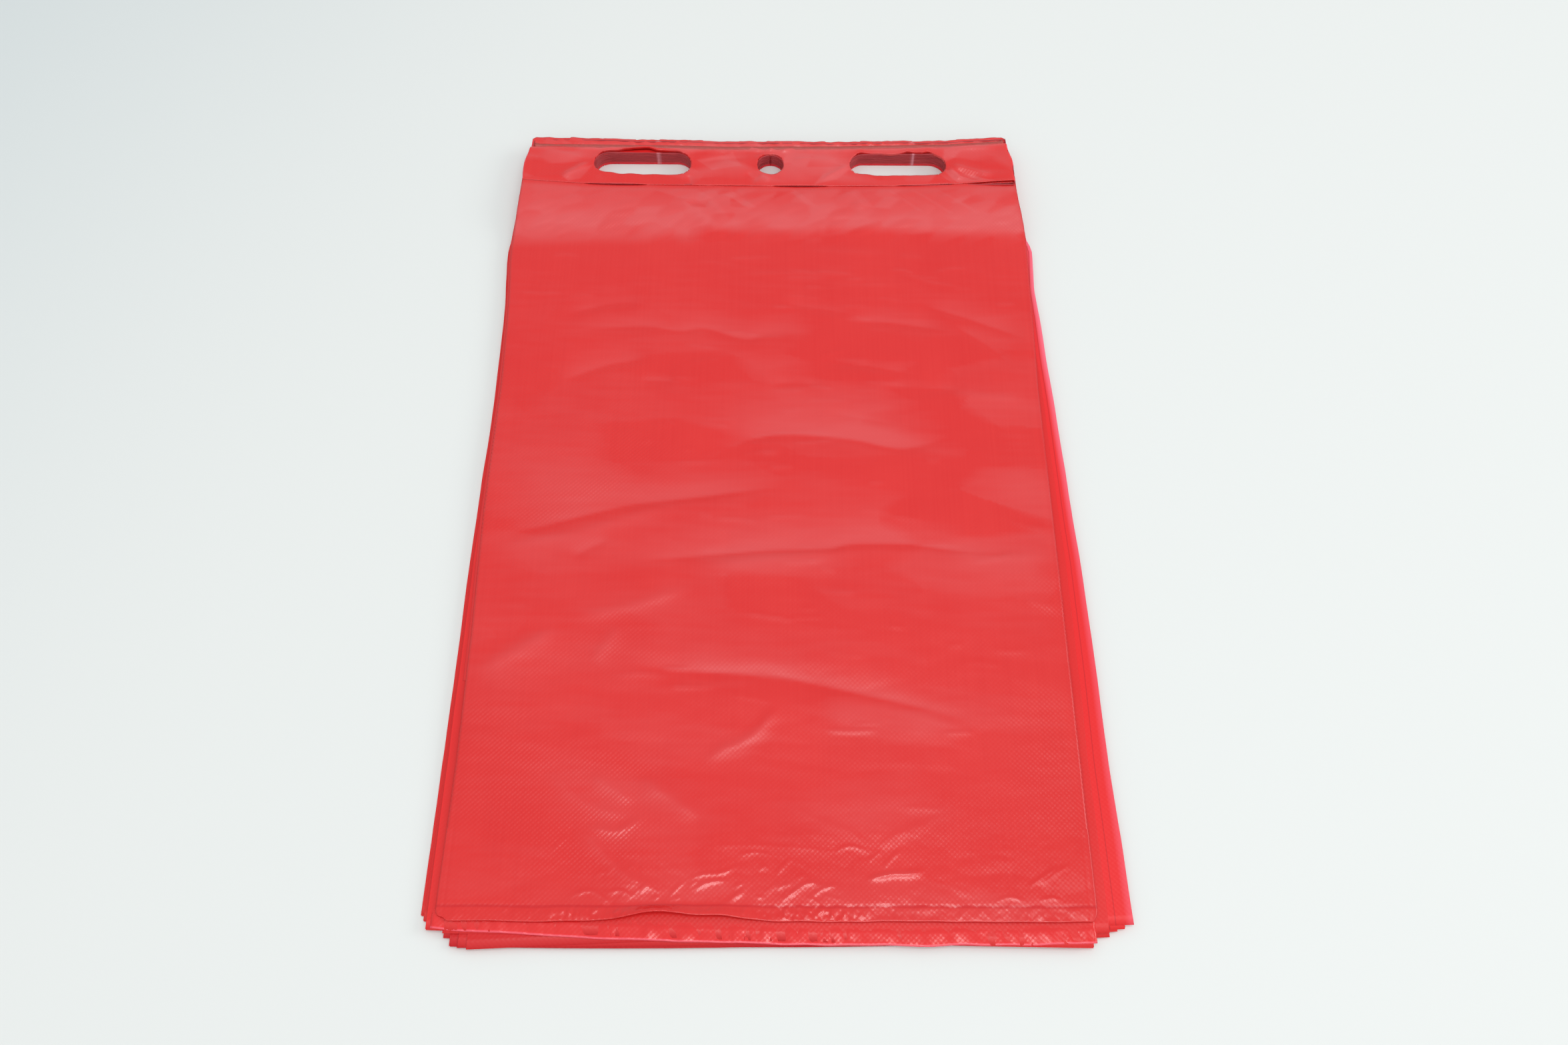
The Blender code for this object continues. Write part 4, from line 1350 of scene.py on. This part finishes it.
def buildRingTree(material):
    labels = ("Depth", "Jitter", "Jitter run", "Seed")
    tree, sockets, size = startTree("stackedFilmEdges", labels, ("Layers",))
    path = addNode(tree, "GeometryNodeMeshToCurve", {}, {0: size["Geometry"]})
    stack = addNode(tree, "GeometryNodeDuplicateElements", {"domain": "SPLINE"}, {
        "Geometry": path, "Amount": size["Layers"]}).outputs
    number = stack["Duplicate Index"]
    tall = addNode(tree, "GeometryNodeInputNamedAttribute", {"data_type": "FLOAT"}, {"Name": "stackTop"})
    # each ring lies at its share of the height, shaken in and out by noise
    height = addNode(tree, "ShaderNodeMapRange", {}, {
        "Value": number, "From Min": -0.9, "From Max": size["Layers"], "To Max": tall})
    spot = addNode(tree, "GeometryNodeInputPosition")
    finer = addNode(tree, "ShaderNodeVectorMath", {"operation": "DIVIDE"}, {0: spot, 1: size["Jitter run"]})
    code = addNode(tree, "ShaderNodeMath", {"operation": "MULTIPLY_ADD"}, {
        0: number, 1: walls["layerShift"], 2: size["Seed"]})
    layer = addNode(tree, "ShaderNodeCombineXYZ", {}, {"Z": code})
    where = addNode(tree, "ShaderNodeVectorMath", {"operation": "ADD"}, {0: finer, 1: layer})
    rough = addNode(tree, "ShaderNodeTexNoise", {}, {"Vector": where, "Scale": 1.0, "Detail": 2.0})
    uneven = addNode(tree, "ShaderNodeMath", {"operation": "SUBTRACT"}, {0: rough, 1: 0.5})
    amount = addNode(tree, "ShaderNodeMath", {"operation": "MULTIPLY"}, {0: uneven, 1: size["Jitter"]})
    tangent = addNode(tree, "GeometryNodeInputTangent")
    outward = addNode(tree, "ShaderNodeVectorMath", {"operation": "CROSS_PRODUCT"}, {
        0: tangent, 1: (0, 0, 1)})
    push = addNode(tree, "ShaderNodeVectorMath", {"operation": "SCALE"}, {0: outward, "Scale": amount})
    raised = addNode(tree, "ShaderNodeCombineXYZ", {}, {"Z": height})
    offset = addNode(tree, "ShaderNodeVectorMath", {"operation": "ADD"}, {0: push, 1: raised})
    moved = addNode(tree, "GeometryNodeSetPosition", {}, {"Geometry": stack[0], "Offset": offset})
    edge = addNode(tree, "GeometryNodeCurvePrimitiveCircle", {}, {"Resolution": 6, "Radius": size["Depth"]})
    tube = addNode(tree, "GeometryNodeCurveToMesh", {}, {
        "Curve": moved, "Profile Curve": edge, "Fill Caps": True})
    endTree(tree, tube, material)
    return tree, sockets


def slotOutline(opening, inset):
    centreX, centreY, straight, radius = opening
    reach = radius + inset
    spots = []
    for side, turn in ((1, -90), (-1, 90)):
        for step in range(walls["turnSteps"] + 1):
            angle = math.radians(turn + 180 * step / walls["turnSteps"])
            spots.append((centreX + side * straight + reach * math.cos(angle),
                          centreY + reach * math.sin(angle)))
        if straight > 0:
            count = int(2 * straight / walls["pointStep"])
            for step in range(1, count):
                spots.append((centreX + side * (straight - 2 * straight * step / count),
                              centreY + side * reach))
    return spots


def headerOutline(inset):
    sides = []
    for side in (1, -1):
        end = float(trimLine(np.array([side * halfWidth]))[0]) - inset
        ups = np.linspace(inset, end, walls["sideSteps"])[::side]
        sides.append([(side * (halfWidth * sideDraw(up) - inset), up) for up in ups])
    across = np.arange(-halfWidth + walls["cornerGap"], halfWidth - walls["cornerGap"], walls["edgeStep"])
    trim = trimLine(across) - inset - walls["trimInset"]
    far = list(zip(across, trim))[::-1]
    return sides[0] + far + sides[1] + [(px, walls["tearInset"] + inset) for px in across]


def makeWall(name, spots, seed, layers, tree, sockets):
    count = len(spots)
    xs, ups = np.array(spots).T
    ring = [(index, (index + 1) % count) for index in range(count)]
    tops = headerHeight(xs, ups) + walls["above"]
    item = makeSeed(name + "_path", [(x, tearY + up, 0.0) for x, up in spots], ring, {"stackTop": tops})
    baked, points = bakeNodes(item, tree, sockets, {
        "Depth": walls["depth"], "Jitter": walls["jitter"], "Jitter run": walls["jitterRun"],
        "Seed": float(seed), "Layers": layers})
    points[:, 2] = np.maximum(points[:, 2], walls["lowest"])
    faces = [tuple(p.vertices) for p in baked.polygons]
    tint = walls["freshTint"] * (1.0 - ease((points[:, 2] - walls["freshUp"]) / walls["freshRun"]))
    farSide = points[:, 1] > tearY + walls["tieUp"]
    pale = farSide * sum(bump(points[:, 0] - place, walls["tieWidth"]) for place in walls["paleTies"])
    return makePiece(name, points, faces, cutEdge, {"tint": tint, "pale": pale})


def makeWalls():
    tree, sockets = buildRingTree(cutEdge)
    pieces = []
    for seed, (name, opening) in enumerate(openings().items()):
        outline = slotOutline(opening, walls["inset"])
        pieces.append(makeWall(f"{name}_wall", outline, seed + 1, walls["layers"], tree, sockets))
    outline = headerOutline(walls["sideInset"])
    pieces.append(makeWall("header_side", outline, 9, walls["sideLayers"], tree, sockets))
    return pieces


wallPieces = makeWalls()
print("cut walls stacked:", len(wallPieces))

# Weld bar: a melted strip along the weld line, thicker in lumps, with a nub at each end
weldBar = {
    "reach": 0.98,              # share of the width that it runs across
    "step": 0.8, "sides": 12, "height": 0.5, "sunk": 0.5, "nub": 0.5, "nubIn": 0.8, "nubWidth": 0.9,
    "lump": 0.15, "lumpRun": 5.0,
}


def makeWeldBar():
    look = weldBar
    reach = halfWidth * look["reach"]
    xs = np.arange(-reach, reach + 0.01, look["step"])
    line = weldLine(xs)
    ends = np.minimum(xs - xs[0], xs[-1] - xs)
    swell = 1.0 + look["nub"] * bump(ends - look["nubIn"], look["nubWidth"])
    swell += look["lump"] * ripple(xs, 0.0, look["lumpRun"], 41)
    swell *= np.clip(ends / look["nubIn"] + 0.05, 0.0, 1.0) ** 0.5
    points = []
    sides = look["sides"]
    for x, up, grow in zip(xs, line, swell):
        centre = float(headerHeight(np.array(x), np.array(up))) - look["sunk"]
        for side in range(sides):
            angle = 2 * math.pi * side / sides
            points.append((x, tearY + up + 0.5 * header["weldWidth"] * grow * math.cos(angle),
                           centre + look["height"] * grow * math.sin(angle)))
    faces = []
    for index in range(len(xs) - 1):
        for side in range(sides):
            following = (side + 1) % sides
            a, b = index * sides + side, index * sides + following
            faces.append((a, b, b + sides, a + sides))
    faces.append(tuple(range(sides))[::-1])
    faces.append(tuple(range(len(points) - sides, len(points))))
    return makePiece("weld_bar", points, faces, weldMelt)


weldPiece = makeWeldBar()
print("weld laid")

bagPieces = [topPiece, secondPiece] + lowerPieces
for piece in (headerTop, headerUnder, headerBack, weldPiece, *wallPieces):
    dress(piece)
for index, piece in enumerate(bagPieces):
    dress(piece)

print("pad dressed:", len(bagPieces), "bags")
